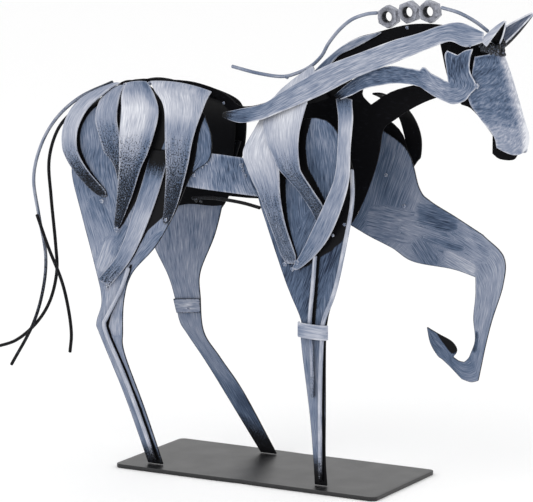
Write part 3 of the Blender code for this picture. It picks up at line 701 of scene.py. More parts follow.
SHOULDER_ROWS = {
    (NEAR, 1): [(0.15, 4, 12), (0.4, 7, 17), (0.6, 4, 19), (0.85, -1, 19.5), (1.05, 2, 20), (1.3, 8, 20),
                (1.6, 13, 22), (1.96, 19.5, 28)],
    (NEAR, 2): [(0.15, 12, 28), (0.4, 10, 35), (0.6, 9.5, 33.4), (0.8, 13, 31.2), (1.0, 20, 32.6), (1.35, 30, 39),
                (1.7, 36, 44), (1.95, 39, 42)],
    (NEAR, 3): [(0.22, 43, 52), (0.5, 50, 58), (0.8, 53, 60), (1.05, 52, 60), (1.3, 46, 56), (1.6, 37, 48),
                (1.8, 31, 39.5), (1.97, 25, 29)],
    (FAR, 1): [(0.15, 4, 12), (0.4, 7, 17), (0.7, 5, 21), (1.0, 9, 27), (1.3, 18, 33), (1.6, 28, 40),
               (1.95, 38, 44)],
    (FAR, 2): [(0.15, 12, 24), (0.4, 13, 30), (0.7, 18, 36), (1.0, 28, 43), (1.4, 40, 51), (1.95, 49, 54)],
    (FAR, 3): [(0.22, 48, 55), (0.5, 55, 63), (0.75, 57.5, 67), (0.95, 58.5, 67), (1.2, 58, 64),
               (1.96, 55, 58.5)]}
SHOULDER_FEET = {(NEAR, 1): 110, (NEAR, 2): 131, (NEAR, 3): 108, (FAR, 1): 130, (FAR, 2): 138, (FAR, 3): 146}
HAUNCH_5 = ([(-57, 164), (-66, 138), (-77, 110), (-90, 94)], [(-46, 164), (-56, 135), (-69, 108), (-83, 91)])


def spine_height(x):
    """Height of the spine over the haunch."""
    return 197.3 - 0.004 * (x + 62) ** 2


def withers_height(x):
    """Height of the rising withers."""
    return 188.5 + 0.72 * (x + 1)


def throat_height(x):
    """Height that the front shoulder strips start from."""
    return 195 + 0 * x


def arch_grid(side, half, top, rows, foot, layer, on=0, steps=72, columns=13):
    """A strip laid over the body's arch.

    Down to the widest line it follows a squared quarter ellipse: outwards by the sine to the power ARCH,
    down by the cosine. Below that it draws in by a cosine to its foot on the leg plate, or `on` layers
    above it. The crown across it is a parabola, and its end is rounded to part of a circle.
    """
    size, values = square(), sizes()
    step = values.sheet + values.gap + values.crown
    down, rear, front = through(rows, np.linspace(0, 1, steps)).T
    width = np.linspace(0, 1, columns)
    half_width = np.abs(front - rear) / 2
    left = np.clip((down[-1] - down) * (WIDEST - foot) / half_width, 0, 1)
    blunt = np.maximum(np.sqrt(1 - (1 - left) ** 2), 0.45)[:, None]
    x = (rear + front)[:, None] / 2 + (front - rear)[:, None] * (width - 0.5) * blunt
    angle = np.minimum(down, 1)[:, None] * math.pi / 2
    fall = np.maximum(down - 1, 0)[:, None]
    out = half * size + layer * step
    foot_out = seat() + on * step
    y = np.where(fall > 0, foot_out + (out - foot_out) * (1 + np.cos(math.pi * fall)) / 2,
                 out * np.sin(angle) ** ARCH) + 0 * x
    rise = (top(x) - WIDEST) * size + layer * step
    z = WIDEST * size + np.where(fall > 0, -(WIDEST - foot) * size * fall, rise * np.cos(angle))
    crown = values.crown * (1 - (2 * width - 1) ** 2)[None]
    y = y + crown * np.sin(angle)
    z = z + crown * np.cos(angle)
    return np.stack([x * size, side * y, z + sole()], axis=-1)


def ribbon_grid(upper, lower, side, steps=90, columns=13):
    """A strip between two smooth edges given as (x, outward, z), with a parabola for its crown."""
    share = np.linspace(0, 1, steps)
    width = np.linspace(0, 1, columns)[None, :, None]
    grid = from_soles(through(upper, share)[:, None] * (1 - width) + through(lower, share)[:, None] * width)
    grid[..., 1] = side * (grid[..., 1] + sizes().crown * (1 - (2 * width[..., 0] - 1) ** 2))
    return grid


def under_strips_and_shadows(strips):
    """Cover of a leg plate: bare black under the strips, where no brush reaches, and painted shadow beside strips and
    rods.

    Each strip is (z, rear x, front x) in metres; a point is under it as far as it lies between the two
    edges at its own height.
    """
    def shade(points):
        x, z = points[..., 0], points[..., 2]
        cover = np.ones(x.shape)
        for heights, rear, front in strips:
            outside = np.maximum(np.interp(z, heights, rear) - x, x - np.interp(z, heights, front))
            outside = np.maximum(outside, np.maximum(heights[0] - z, z - heights[-1]))
            cover = np.minimum(cover, np.clip(UNDER_AND_SHADOW_COVER + outside / UNDER_FADE, 0, 1))
        return cover
    return shade


# Black beyond a strip's front edge, as (height, reach) in squares
SHADOWS = {"near_haunch_strip_1": [(130, -.3), (190, -.3)], "near_haunch_strip_2": [(140, 1.2), (190, 1.5)],
           "near_haunch_strip_3": [(122, .5), (136, 2.2), (151, 3.2), (160, 4.5), (172, 5.5), (180, 12), (190, 12)],
           "near_haunch_strip_4": [(128, 1.5), (150, 1.4), (170, 1.2), (190, 0)],
           "near_haunch_strip_5": [(92, -.5), (97, 2), (108, 1.4), (114, 1.2), (122, 2.2), (127, 6), (131, 9),
                                   (152, 9)],
           "near_shoulder_strip_3": [(108, .5), (113, 1.5), (118, 3.5), (125, 6.5), (132, 4.5), (137, 3), (150, 1.5)]}


def footprint(name, grid):
    """Heights with the rear and front edges of the black under a strip and its painted shadow beyond the front edge,
    lowest first.
    """
    order = np.argsort(grid[:, 0, 2])
    heights, rear, front = grid[order, 0, 2], grid[order, 0, 0], grid[order, -1, 0]
    at, reach = np.array(SHADOWS.get(name, [(0, 0), (200, 0)]), float).T * square()
    return heights, rear, front + np.interp(heights - sole(), at, reach)


# Black beside the rods of the near legs: (lowest first) height, x of the rod's middle, reach, in squares
ROD_SHADOWS = [[(2, -56, 1.6), (28, -66.7, 1.7), (48, -75.8, 1.6), (64, -84, 1.5), (70, -86, 1.3), (76, -84, .9),
                (98, -72.6, 1.0), (103, -71, .9)],
               [(2, 41, 1.6), (45, 40.7, 1.5), (72, 41.5, 1.4), (84, 42.5, 1.4), (98, 48, 1.3), (111, 51.5, 1.2)],
               [(80, 34.8, 1.7), (100, 36.3, 1.9), (114, 37.3, 1.9), (119, 37.8, 1.8)]]


def rod_shadows(side):
    """Heights with the rear and front edges of the black beside each rod of the near legs."""
    if side == FAR:
        return []
    lines = [np.array(line, float).T * square() for line in ROD_SHADOWS]
    return [(height + sole(), x, x + reach) for height, x, reach in lines]


def strip_grids(side):
    """Grids of the haunch and shoulder strips of one side, by name."""
    word = "near" if side == NEAR else "far"
    grids = {}
    for number, rows in HAUNCH_ROWS.items():
        over_fifth = side == FAR and number == 4
        grids[f"{word}_haunch_strip_{number}"] = arch_grid(
            side, HAUNCH_HALF, spine_height, FAR_HAUNCH_4 if over_fifth else rows, HAUNCH_FEET[number],
            HAUNCH_LAYERS[number], 1 if over_fifth else 0)
    forward = 12 if side == FAR else 0
    out = seat() / square()
    edges = [[(x + forward, out, z) for x, z in line] for line in HAUNCH_5]
    grids[f"{word}_haunch_strip_5"] = ribbon_grid(*edges, side, steps=50)
    for (of_side, number), rows in SHOULDER_ROWS.items():
        if of_side == side:
            top = throat_height if number == 3 else withers_height
            grids[f"{word}_shoulder_strip_{number}"] = arch_grid(
                side, SHOULDER_HALF, top, rows, SHOULDER_FEET[side, number], min(number - 1, 1),
                1 if number == 3 else 0)
    return grids


STRIP_LOOKS = {
    "haunch_strip_1": Look([(0, .5, 1, .1), (.3, .64, 1, .2), (.48, .68, .98, .3), (.6, .5, .8, .7),
                            (.7, .32, .5, .6), (.8, .28, .33, .6), (1, .25, .25, .6)], left=.05, right=.08),
    "haunch_strip_2": Look([(0, .58, 1, .1), (.3, .54, 1, .3), (.45, .46, .85, .9), (.6, .35, .62, .9),
                            (.8, .3, .42, .8), (1, .25, .3, .7)], left=.08),
    "haunch_strip_3": Look([(0, .42, 1, .1), (.12, .5, 1, .1), (.25, .88, 1, .1), (.36, .85, .98, .3),
                            (.45, .65, .76, 1), (.56, .48, .58, 1.2), (.66, .36, .42, 1), (.8, .32, .32, 1),
                            (1, .3, .26, 1)], left=.1, right=-.35),
    "haunch_strip_4": Look([(0, .55, 1, .1), (.15, .75, 1, .1), (.3, .75, 1, .2), (.38, .5, .9, .6),
                            (.5, .42, .7, 1), (.62, .37, .54, 1.1), (.74, .32, .36, 1), (1, .3, .26, .9)],
                           left=.15, right=-.18),
    "haunch_strip_5": Look([(0, .1, 0, 0), (.1, .15, .3, .4), (.22, .35, .9, .3), (.45, .62, 1, .1),
                            (.7, .56, .95, .2), (.85, .34, .66, .6), (1, .32, .5, .7)], left=-.15, right=.12),
    "shoulder_strip_1": Look([(0, .72, 1, .05), (.25, .84, 1, .05), (.4, .8, 1, .1), (.52, .6, .88, .4),
                              (.64, .42, .68, .6), (.8, .36, .55, .5), (1, .38, .55, .5)], right=-.05),
    "shoulder_strip_2": Look([(0, .68, 1, .05), (.25, .86, 1, .05), (.42, .8, .98, .2), (.54, .52, .8, .6),
                              (.66, .36, .56, .6), (.82, .33, .48, .5), (1, .3, .45, .5)], left=-.15, right=-.1),
    "shoulder_strip_3": Look([(0, .25, .65, .9), (.1, .32, .85, .6), (.2, .66, 1, .2), (.38, .64, 1, .2),
                              (.52, .44, .94, .5), (.7, .5, .95, .4), (.85, .4, .82, .5), (1, .4, .72, .6)],
                             left=-.1, right=.1, rim=(.9, .9))}
FAR_STRIP = Look([(0, .5, .9, .2), (.5, .5, .8, .5), (1, .35, .42, .8)], rim=(.3, .15))


class HORSE_OT_strips(bpy.types.Operator):
    """Make the bent strips over the haunches and shoulders"""
    bl_idname = "horse.strips"
    bl_label = "Haunch and shoulder strips"

    def execute(self, context):
        material = brushed_paint("brushed_strip", strength=0.6)
        for side in (NEAR, FAR):
            slot_name = "brushed_paint" if side == NEAR else "black_paint"
            for name, grid in strip_grids(side).items():
                look = STRIP_LOOKS.get(name.removeprefix("near_"), FAR_STRIP)
                sheet(name + "_brushed", grid, look, material, outward=(0, side, 0.3), slot_name=slot_name)
        return {"FINISHED"}


class HORSE_OT_legs(bpy.types.Operator):
    """Make the four leg plates"""
    bl_idname = "horse.legs"
    bl_label = "Leg plates"

    def execute(self, context):
        material = brushed_paint("brushed_leg", strength=0.8)
        # Bare black under the strips, with painted shadow beyond their front edges and beside the near rods
        shades = {side: under_strips_and_shadows([footprint(*item) for item in strip_grids(side).items()] + rod_shadows(side))
                  for side in (NEAR, FAR)}
        inside = [(0, .3, .2, .5), (.1, .45, .8, .3), (1, .45, .9, .3)]

        near_hind = patch_between(
            [[(-61, 0), (-75, 34), (-90, 65), (-92, 71), (-89, 80), (-89, 87), (-91, 95), (-95, 109), (-101, 129),
              (-106, 147), (-105.5, 160), (-106, 171), (-104, 180)]],
            [[(-52, 0), (-63, 28), (-75, 56), (-76, 68), (-75, 85), (-70, 99), (-56, 114), (-45, 131), (-41, 139),
              (-34, 153), (-24, 161), (-23.2, 172), (-30, 182.5)]],
            far_end=[[(-104, 180), (-93, 188), (-64, 191), (-46, 188), (-30, 182.5)]], steps=16, columns=101)
        look = Look([(0, .3, .2, .4), (.025, .3, .35, .4), (.07, .4, .85, .3), (.2, .45, .95, .2), (.33, .5, 1, .1),
                     (.45, .42, .95, .2), (.6, .48, 1, .1), (.8, .34, .97, .2), (1, .34, .95, .2)],
                    left=.05, right=-.03, inside=inside, rim=(.2, .25), bend=-.04)
        sheet("near_hind_leg_brushed", lean(near_hind, NEAR), look, material, shade=shades[NEAR],
              dabs=[(-88, 126, 13, 6, 112, -.06, .95), (-77, 115, 10, 4.5, 58, -.12, .95),
                    (-85, 107, 10, 5, 66, .13, 1), (-81, 80, 15, 7, 84, .14, 1), (-57, 112, 12, 6, 46, -.1, .9)])

        far_hind = patch_between(
            [[(-21.5, 0), (-51.5, 41), (-66, 59), (-71, 66), (-74, 79), (-78, 90), (-86, 104), (-94, 122),
              (-95, 146), (-92, 168)]],
            [[(-12, 0), (-32, 31), (-46, 48), (-56, 61), (-58, 79), (-58, 93), (-49, 114), (-43, 136), (-38, 157),
              (-35.5, 183)]],
            far_end=[[(-92, 168), (-84, 182), (-68, 187.5), (-51, 187.5), (-35.5, 183)]], steps=12, columns=49)
        look = Look([(0, .25, .1, .4), (.06, .2, .3, .4), (.12, .2, .75, .3), (.2, .26, .95, .2), (.35, .48, 1, .1),
                     (.5, .5, 1, .1), (.62, .46, 1, .1), (.75, .48, 1, .1), (1, .3, .9, .2)], inside=inside,
                    rim=(.2, .2))
        sheet("far_hind_leg_brushed", lean(far_hind, FAR), look, material,
              shade=lambda points: np.clip((138 - (points[..., 2] - sole()) / square()) / 3, 0, 1))

        near_fore = patch_between(
            [[(37, 0), (36, 15), (34, 36), (29, 72), (29, 83), (23, 96), (19, 105), (9, 131), (4, 146), (4, 160),
              (11, 173), (20, 180)]],
            [[(44, 0), (43, 15), (43, 36), (43, 72), (44, 85), (47, 97), (53, 126), (57, 138), (59, 155), (55, 170),
              (48, 181), (43, 185)]],
            far_end=[[(20, 180), (28, 184), (36, 186), (43, 185)]], steps=16, columns=81)
        look = Look([(0, .2, .1, .3), (.05, .3, .3, .4), (.1, .4, .85, .3), (.25, .44, .95, .2), (.38, .42, .95, .2),
                     (.5, .22, .88, .4), (.6, .2, .95, .4), (.85, .29, .97, .3), (1, .34, .97, .3)], inside=inside,
                    rim=(.2, .25))
        sheet("near_fore_leg_brushed", world(near_fore, NEAR * track()), look, material, shade=shades[NEAR],
              dabs=[(34, 112, 30, 13, 68, -.04, .95)])

        raised = patch_between(
            [[(31, 125), (42, 120), (55, 115), (67, 109), (89, 107), (102, 104)],
             [(102, 104), (102, 94), (101, 83), (102, 72), (99, 63)],
             [(99, 63), (97.5, 61.2), (96, 60)], [(96, 60), (93, 60.4), (90, 62)],
             [(90, 62), (92, 66), (89, 70), (82, 73), (75.6, 75.8)]],
            [[(46, 177), (63, 166), (70, 147), (76, 141), (90, 134), (105.5, 126)],
             [(105.5, 126), (117.3, 115.8), (117.2, 101.5), (110.5, 80), (104, 51)],
             [(104, 51), (100, 50), (95, 51)], [(95, 51), (91.5, 54), (88, 57)],
             [(88, 57), (84, 60), (81, 62), (77, 68), (75, 76)]],
            near_end=[[(31, 125), (37, 135), (41, 152), (44, 165), (46, 177)]], steps=14, columns=65)
        look = Look([(0, .3, .9, .4), (.1, .36, .95, .3), (.2, .48, 1, .1), (.3, .42, 1, .1), (.42, .52, 1, .1),
                     (.6, .55, 1, .1), (.72, .42, 1, .2), (.85, .3, .85, .3), (1, .25, .7, .4)],
                    inside=inside, rim=(.2, .2), turn=((0, 1), (.17, 1), (.24, 0), (1, 0)))
        sheet("raised_fore_leg_brushed", world(raised, FAR * track()), look, material,
              dabs=[(56, 127, 16, 9, -4, .02, 1), (93, 122, 18, 6, -22, -.04, 1), (74, 123, 15, 4.5, -10, 0, 1),
                    (80.5, 133, 12.5, 6.5, -8, -.2, .95), (74, 114, 9, 6, -52, -.1, .95),
                    (84, 120, 12, 2.2, -12, -.14, .8), (93, 110, 10, 4.5, -24, .16, 1),
                    (87, 70.5, 8, 3.4, -50, -.3, .05), (102, 71, 6, 2, 84, -.2, .6)])
        return {"FINISHED"}


class HORSE_OT_belly(bpy.types.Operator):
    """Make the near belly band and paint the black plates behind it"""
    bl_idname = "horse.belly"
    bl_label = "Belly"

    def execute(self, context):
        band = patch_between([[(-44, 164), (-24, 164), (-5, 163), (7, 162)]],
                             [[(-44, 147), (-35, 146), (-17, 145), (6, 144)]], steps=14, columns=17)
        look = Look([(0, .4, .9, .3), (.4, .42, 1, .1), (.75, .28, 1, .2), (.92, .2, .75, .6), (1, .2, .4, .8)],
                    left=-.08, right=.12, rim=(.6, .7), slant=55)
        sheet("near_belly_band_brushed", world(band, NEAR * (track() - spacing())), look, brushed_paint())
        for name in ("far_belly_band", "far_shoulder_brace", "back_plate", "chest_plate", "neck_and_head_plate"):
            frame["nodes"][name].material_slots[0].material = black_paint()
        return {"FINISHED"}


class HORSE_OT_neck(bpy.types.Operator):
    """Make the mane strip, the throat strip with its jaw, and the crest strip"""
    bl_idname = "horse.neck"
    bl_label = "Neck strips"

    def execute(self, context):
        material = brushed_paint()
        upper = [(-15, 25.5, 185.5), (-5, 26, 188), (8, 26, 191.3), (19, 26, 197.8), (32, 25, 206), (41, 21, 211.8),
                 (58, 14, 219), (73, 11, 225), (85, 9.5, 228.6), (98, 8.5, 233.4), (108.3, 8, 235), (120.3, 8, 230.9)]
        lower = [(-15, 26.5, 183.5), (-4, 28.5, 181.5), (9, 31, 184), (19, 31, 188), (33, 29, 194), (43, 24.5, 199),
                 (56, 18, 206.5), (74, 13.5, 214), (85, 11.5, 218.8), (95, 10.5, 223), (103.5, 10, 225.9),
                 (111.7, 9.7, 223.6), (121, 9, 226.4)]
        look = Look([(0, .1, .05, .6), (.04, .2, .6, .6), (.08, .3, .85, .4), (.16, .42, .95, .2), (.3, .5, 1, .1),
                     (.45, .57, 1, .05), (.7, .57, 1, .05), (.9, .5, 1, .1), (1, .54, 1, .1)],
                    left=-.1, right=.05, rim=(.9, .95))
        sheet("mane_strip_brushed", ribbon_grid(upper, lower, NEAR, steps=150, columns=19), look,
              brushed_paint("brushed_mane", strength=0.9))

        out = 10 + spacing() / square()
        top = [[(43, 17, 196.5), (51, 15, 203.7), (58, 14, 208.2), (66, 13, 211.2), (73, 12.5, 212.5), (80, 12, 212),
                (87.5, out, 211.2)],
               [(87.5, out, 211.2), (89.6, out, 212.8), (92.8, out, 210.3), (97, out, 208.5), (100, out, 207),
                (103, out, 206)],
               [(103, out, 206), (102.5, out, 209), (102, out, 213), (101, out, 219), (102, out, 221.5)]]
        bottom = [[(47, 18, 195), (53, 17, 197.5), (60, 15.5, 201), (74, 13, 204), (82, 12, 204), (88, out, 203)],
                  [(88, out, 203), (94, out, 199.5), (100, out, 197), (106, out, 195.5), (112, out, 197.5),
                   (115, out, 201)],
                  [(115, out, 201), (118, out, 205), (114.5, out, 212), (114.5, out, 218), (116, out, 223)]]
        end = [[(102, out, 221.5), (108, out, 219.5)], [(108, out, 219.5), (112, out, 222), (116, out, 223)]]
        grid = from_soles(patch_between(top, bottom, far_end=end, steps=8, columns=19)) * (1, NEAR, 1)
        look = Look([(0, .1, .1, .9), (.05, .18, .7, .8), (.2, .26, .95, .4), (.35, .24, 1, .3), (.5, .28, 1, .3),
                     (.62, .46, 1, .3), (.72, .46, 1, .4), (.82, .28, 1, .5), (.92, .22, .95, .5), (1, .24, .9, .6)],
                    left=-.06, rim=(.9, .95), short=2.0)
        sheet("throat_and_jaw_brushed", grid, look, material, ["throat_strip", "near_jaw"])

        patch = patch_between(
            [[(23.3, 206), (27, 209.7), (32, 213.9), (38.5, 219), (48, 224.2), (57.5, 226.9), (61, 227.8)]],
            [[(27.5, 206), (32, 209.5), (38, 215.3), (44.5, 218.3), (51.5, 221.8), (57, 224.8), (61, 227.2)]],
            steps=10, columns=9)
        look = Look([(0, .3, .7, .3), (.5, .45, .95, .3), (.85, .5, .85, .5), (1, .3, .4, .8)], left=-.1, right=.1,
                    rim=(.8, .8))
        sheet("crest_strip_brushed", world(patch, NEAR * spacing()), look, material)
        frame["nodes"]["far_jaw"].material_slots[0].material = black_paint()
        return {"FINISHED"}


class HORSE_OT_head(bpy.types.Operator):
    """Make the face sheet and the ears"""
    bl_idname = "horse.head"
    bl_label = "Face and ears"

    def face_grid(self, rows=60, columns=49):
        """The face folded round its bridge.

        Each row runs from the bridge to the cheek line as the distance across to the power 1.7, and stands
        out to the side by one less the remaining distance to the power 1.5. The sheet sags between the
        bridge and the cheek by a sine of that distance, more towards the muzzle.
        """
        bridge = [(126, 221), (130, 212), (134, 201), (138, 189), (140.7, 181), (139.8, 174.5)]
        cheek = [(116, 219), (114.5, 208), (113.5, 198), (118.5, 190), (126, 181), (127.5, 175)]
        half = [(9,), (9.6,), (10,), (9,), (8,), (7,)]
        share = np.linspace(0, 1, rows)
        middle, side, width = through(bridge, share), through(cheek, share), through(half, share)
        across = np.linspace(-1, 1, columns)
        away = (np.abs(across) ** 1.7)[None, :, None]
        flat = middle[:, None] * (1 - away) + side[:, None] * away
        y = width * (np.sign(across) * (1 - (1 - np.abs(across)) ** 1.5))[None]
        sag = 3 * share[:, None] ** 5 * np.sin(math.pi * np.abs(across[None]))
        return from_soles(np.stack([flat[..., 0], y, flat[..., 1] - sag], axis=-1))

    def ear_grid(self, side, base, tip, radius, turn, rows=28, columns=25):
        """A leaf curled round its axis: an open arc that narrows to the tip by a power of the share.

        The arc's middle is turned about the axis by `turn` degrees towards the far side.
        """
        share = np.linspace(0, 1, rows)[:, None, None]
        curl = np.radians(np.linspace(-115, 115, columns) + turn)[None, :, None]
        base = np.array(base, float) * (1, side, 1)
        tip = np.array(tip, float) * (1, side, 1)
        axis = (tip - base) / np.linalg.norm(tip - base)
        back = np.cross(axis, (0, 1, 0))
        back *= -math.copysign(1, back[0])
        aside = np.cross(axis, back)
        aside *= math.copysign(1, aside[1])
        reach = radius * (0.12 + 0.88 * (1 - share ** 1.6))
        return from_soles(base + (tip - base) * share + reach * (np.cos(curl) * back + np.sin(curl) * aside))

    def execute(self, context):
        material = brushed_paint()
        # The middle term paints a highlight along the bridge of the face
        face = Look([(0, .22, .85, .6), (.1, .24, .95, .5), (.4, .28, .92, .8), (.58, .32, .94, .7), (.75, .5, 1, .3),
                     (.95, .6, 1, .2), (1, .5, .9, .3)], middle=.55, rim=(.8, .9), inside=BARE, slant=-26, short=4.0)
        sheet("face_sheet_brushed", self.face_grid(), face, brushed_paint("brushed_face", strength=0.75),
              outward=(1, 0, 0.5))
        ear = Look([(0, .7, .95, .2), (.6, .75, 1, .1), (1, .7, .9, .3)], inside=BARE, rim=(.9, .9))
        near = self.ear_grid(NEAR, (122.9, 6.5, 224.8), (131.1, 7, 236.5), 4.4, 19)
        sheet("near_ear_brushed", near, ear, material, outward=(-1, 0, 1))
        # The far ear's white rim is a painted highlight along its curled edge
        inner = Look(BARE, inside=[(0, .5, .9, .3), (1, .6, .9, .3)], rim=(.9, .9))
        far = self.ear_grid(FAR, (121.9, 7.5, 225.9), (138.5, 8, 239.5), 3.9, 105)
        sheet("far_ear_brushed", far, inner, material, outward=(0, 1, 0))
        return {"FINISHED"}


# The crest line that the nuts stand on, and their places along it
CREST = [(22, 205), (28, 211), (38, 219), (48, 224.5), (57, 227), (66, 229.7), (76, 232.1), (87, 232.9),
         (97, 232.3), (106, 230), (114, 226)]
NUTS_MIDDLE, NUT_STEP, NUT_TURNS = 76, 1.1, (5, -8, 12)   # squares; widths across the flats; degrees


class HORSE_OT_nuts(bpy.types.Operator):
    """Make the three nuts on the crest"""
    bl_idname = "horse.nuts"
    bl_label = "Crest nuts"

    def execute(self, context):
        values = sizes()
        pitch = values.nut_flats * NUT_STEP + values.gap
        corners = values.nut_flats / math.cos(math.radians(30))
        heights = through(CREST, np.linspace(0, 1, 201))
        for number, turn in enumerate(NUT_TURNS, start=1):
            x = NUTS_MIDDLE * square() + (number - 2) * pitch
            z = np.interp(x / square(), heights[:, 0], heights[:, 1]) * square() + sole() + values.gap + corners / 2
            points, faces = self.nut(values, math.radians(90 + turn))
            paint = np.zeros((len(points), 3))
            # Painted shade in the bore: the paint attribute's X rises towards the bore
            paint[:, 0] = np.clip((values.nut_bore * 0.62 - np.hypot(points[:, 0], points[:, 2])) / 0.0004, 0, 0.9)
            points = points + (x, 0, z)
            to_object(f"crest_nut_{number}_chamfered", points, faces, paint, paint, nut_steel(),
                      [f"crest_nut_{number}"])
        return {"FINISHED"}

    def nut(self, values, turn, steps=96):
        """A hexagon nut as a profile carried round its axis.

        The outer radius is that of a hexagon, cut back near both faces by a cone. The bore's radius rises
        and falls as a triangle wave of the height plus the angle, which makes its thread.
        """
        half, flat, bore = values.nut_thickness / 2, values.nut_flats / 2, values.nut_bore / 2
        angle = np.linspace(0, 2 * math.pi, steps, endpoint=False)[:, None]
        hexagon = flat / np.cos(np.mod(angle - turn, math.pi / 3) - math.pi / 6)
        height = np.concatenate([np.linspace(-1, 1, 13), np.linspace(1, -1, 31)])[None] * half
        outside = (np.arange(44) < 13)[None]
        cone = flat + (half - np.abs(height)) * NUT_CHAMFER
        outer = np.minimum(hexagon, cone)
        wave = np.abs(np.mod(height / THREAD_PITCH + angle / (2 * math.pi), 1) - 0.5) * 2
        mouth = np.clip((np.abs(height) - half + NUT_MOUTH) / NUT_MOUTH, 0, 1)
        inner = bore + THREAD_DEPTH * (1 - wave) * (1 - mouth) + NUT_MOUTH * mouth
        radius = np.where(outside, outer, inner)
        points = np.stack([radius * np.cos(angle), height + 0 * angle, radius * np.sin(angle)], axis=-1)
        index = np.arange(points[..., 0].size).reshape(points.shape[:2])
        right, down = np.roll(index, -1, axis=0), np.roll(index, -1, axis=1)
        corner = np.roll(right, -1, axis=1)
        return points.reshape(-1, 3), np.stack([index, right, corner, down], axis=-1).reshape(-1, 4)


class HORSE_OT_rods(bpy.types.Operator):
    """Make the rods of the tail, mane, forelock, belly and legs"""
    bl_idname = "horse.rods"
    bl_label = "Rods"

    def execute(self, context):
        material = brushed_paint()
        thin, thick = sizes().tail_rod, sizes().leg_rod
        beside = thin + sizes().gap
        on_leg = track() + sizes().sheet / 2 + sizes().gap + thick / 2
        dark = [(0, .3, .2, .5), (.5, .3, .15, .5), (1, .2, .1, .4)]
        grey = [(0, .3, .35, .5), (.12, .4, .6, .4), (.4, .5, .8, .3), (.6, .42, .6, .4), (.75, .3, .3, .5),
                (1, .2, .15, .5)]
        light = [(0, .36, .8, .5), (.5, .38, .82, .5), (1, .44, .85, .5)]
        leg = [(0, .6, 1, .3), (.5, .6, 1, .3), (.9, .62, .9, .4), (.96, .4, .35, .5), (1, .3, .15, .5)]
        rods = {
            "tail_rod_1": ([(-96, 194), (-116, 185), (-131, 173), (-141, 158), (-146, 140), (-143, 120), (-139, 99),
                            (-141, 80), (-148, 60), (-162, 37)], 0.0, thin, grey),
            "tail_rod_2": ([(-98, 191.5), (-110, 185.5), (-120, 178.5), (-131.5, 167), (-137.5, 150), (-136.5, 130),
                            (-134, 105), (-133.5, 90), (-138, 74), (-147, 61), (-160, 50.5), (-175, 45)],
                           FAR * beside, thin, dark),
            "tail_rod_3": ([(-143, 121), (-136, 104), (-128, 87), (-124, 73), (-122, 59), (-123, 48)],
                           NEAR * beside, thin, dark),
            "mane_rod": ([(-25, 206), (-10, 203.3), (4, 202.3), (13, 204.5), (21, 208.5), (27, 214), (31, 220.5),
                          (37, 227.5), (44, 233), (52, 236), (58.5, 237)], 0.0, thin, light),
            "forelock_rod": ([(93.2, 241.2), (103, 239), (112, 235), (119, 230.5)], 0.0, thin, light),
            "belly_rod": ([(-36, 140), (-24, 141), (-8, 140), (4, 138)], NEAR * (track() - spacing() - thin), thin,
                          dark),
            "near_hind_rod": ([(-71.2, 102), (-73, 97), (-76.5, 89), (-84.5, 75), (-86.3, 71), (-84, 64), (-75.8, 48),
                               (-66.7, 28), (-56, 2)], NEAR * on_leg, thick, leg),
            "near_fore_rod_1": ([(37.7, 117.5), (37, 108), (36.2, 99), (34.8, 83), (36, 66), (36.5, 45)],
                                NEAR * on_leg, thick,
                                [(0, .66, 1, .3), (.45, .6, 1, .3), (.55, .4, .9, .4), (1, .34, .6, .5)]),
            "near_fore_rod_2": ([(58, 162), (58.5, 149), (57, 137), (51.5, 111), (48, 98), (42.5, 84), (41.5, 72),
                                 (40.7, 45), (41, 2)], NEAR * on_leg, thick, leg)}
        for name, (points, middle, diameter, rows) in rods.items():
            rod(name + "_round", points, middle, diameter, rows, material, [name])
        return {"FINISHED"}


class HORSE_OT_bracelets(bpy.types.Operator):
    """Make the bands across two legs

    The near one is half a squared ellipse in plan, from the sine to the power 0.8 and the cosine to the
    power 0.4, carried up a little slope; the far one is a flat patch.
    """
    bl_idname = "horse.bracelets"
    bl_label = "Leg bands"

    def execute(self, context):
        values, size = sizes(), square()
        height, middle, half, at, slope = 7.5, 36.5, 8, 79, 0.04
        angle = np.radians(np.linspace(-88, 88, 41))[None]
        level = np.linspace(-0.5, 0.5, 9)[:, None]
        over = values.sheet + values.leg_rod + 4 * values.gap
        x = middle * size + half * size * np.sign(np.sin(angle)) * np.abs(np.sin(angle)) ** 0.8 + 0 * level
        y = NEAR * (track() + over * np.cos(angle) ** 0.4) + 0 * level
        z = at * size + sole() + height * size * level - slope * (x - middle * size)
        look = Look([(0, .62, 1, .4), (1, .6, 1, .4)], rim=(.85, .9), turn=((0, 1), (1, 1)), short=0.4)
        sheet("near_fore_bracelet_brushed", np.stack([x, y, z], axis=-1), look, brushed_paint())
        band = patch_between([[(-72, 70), (-74, 70 + height)]], [[(-57, 71.5), (-58, 71.5 + height)]], steps=10,
                             columns=17)
        look = Look([(0, .5, .95, .5), (1, .54, .95, .5)], rim=(.5, .3), turn=((0, 1), (1, 1)), short=0.4)
        sheet("far_hind_bracelet_brushed", world(band, FAR * (track() - spacing())), look, brushed_paint())
        return {"FINISHED"}


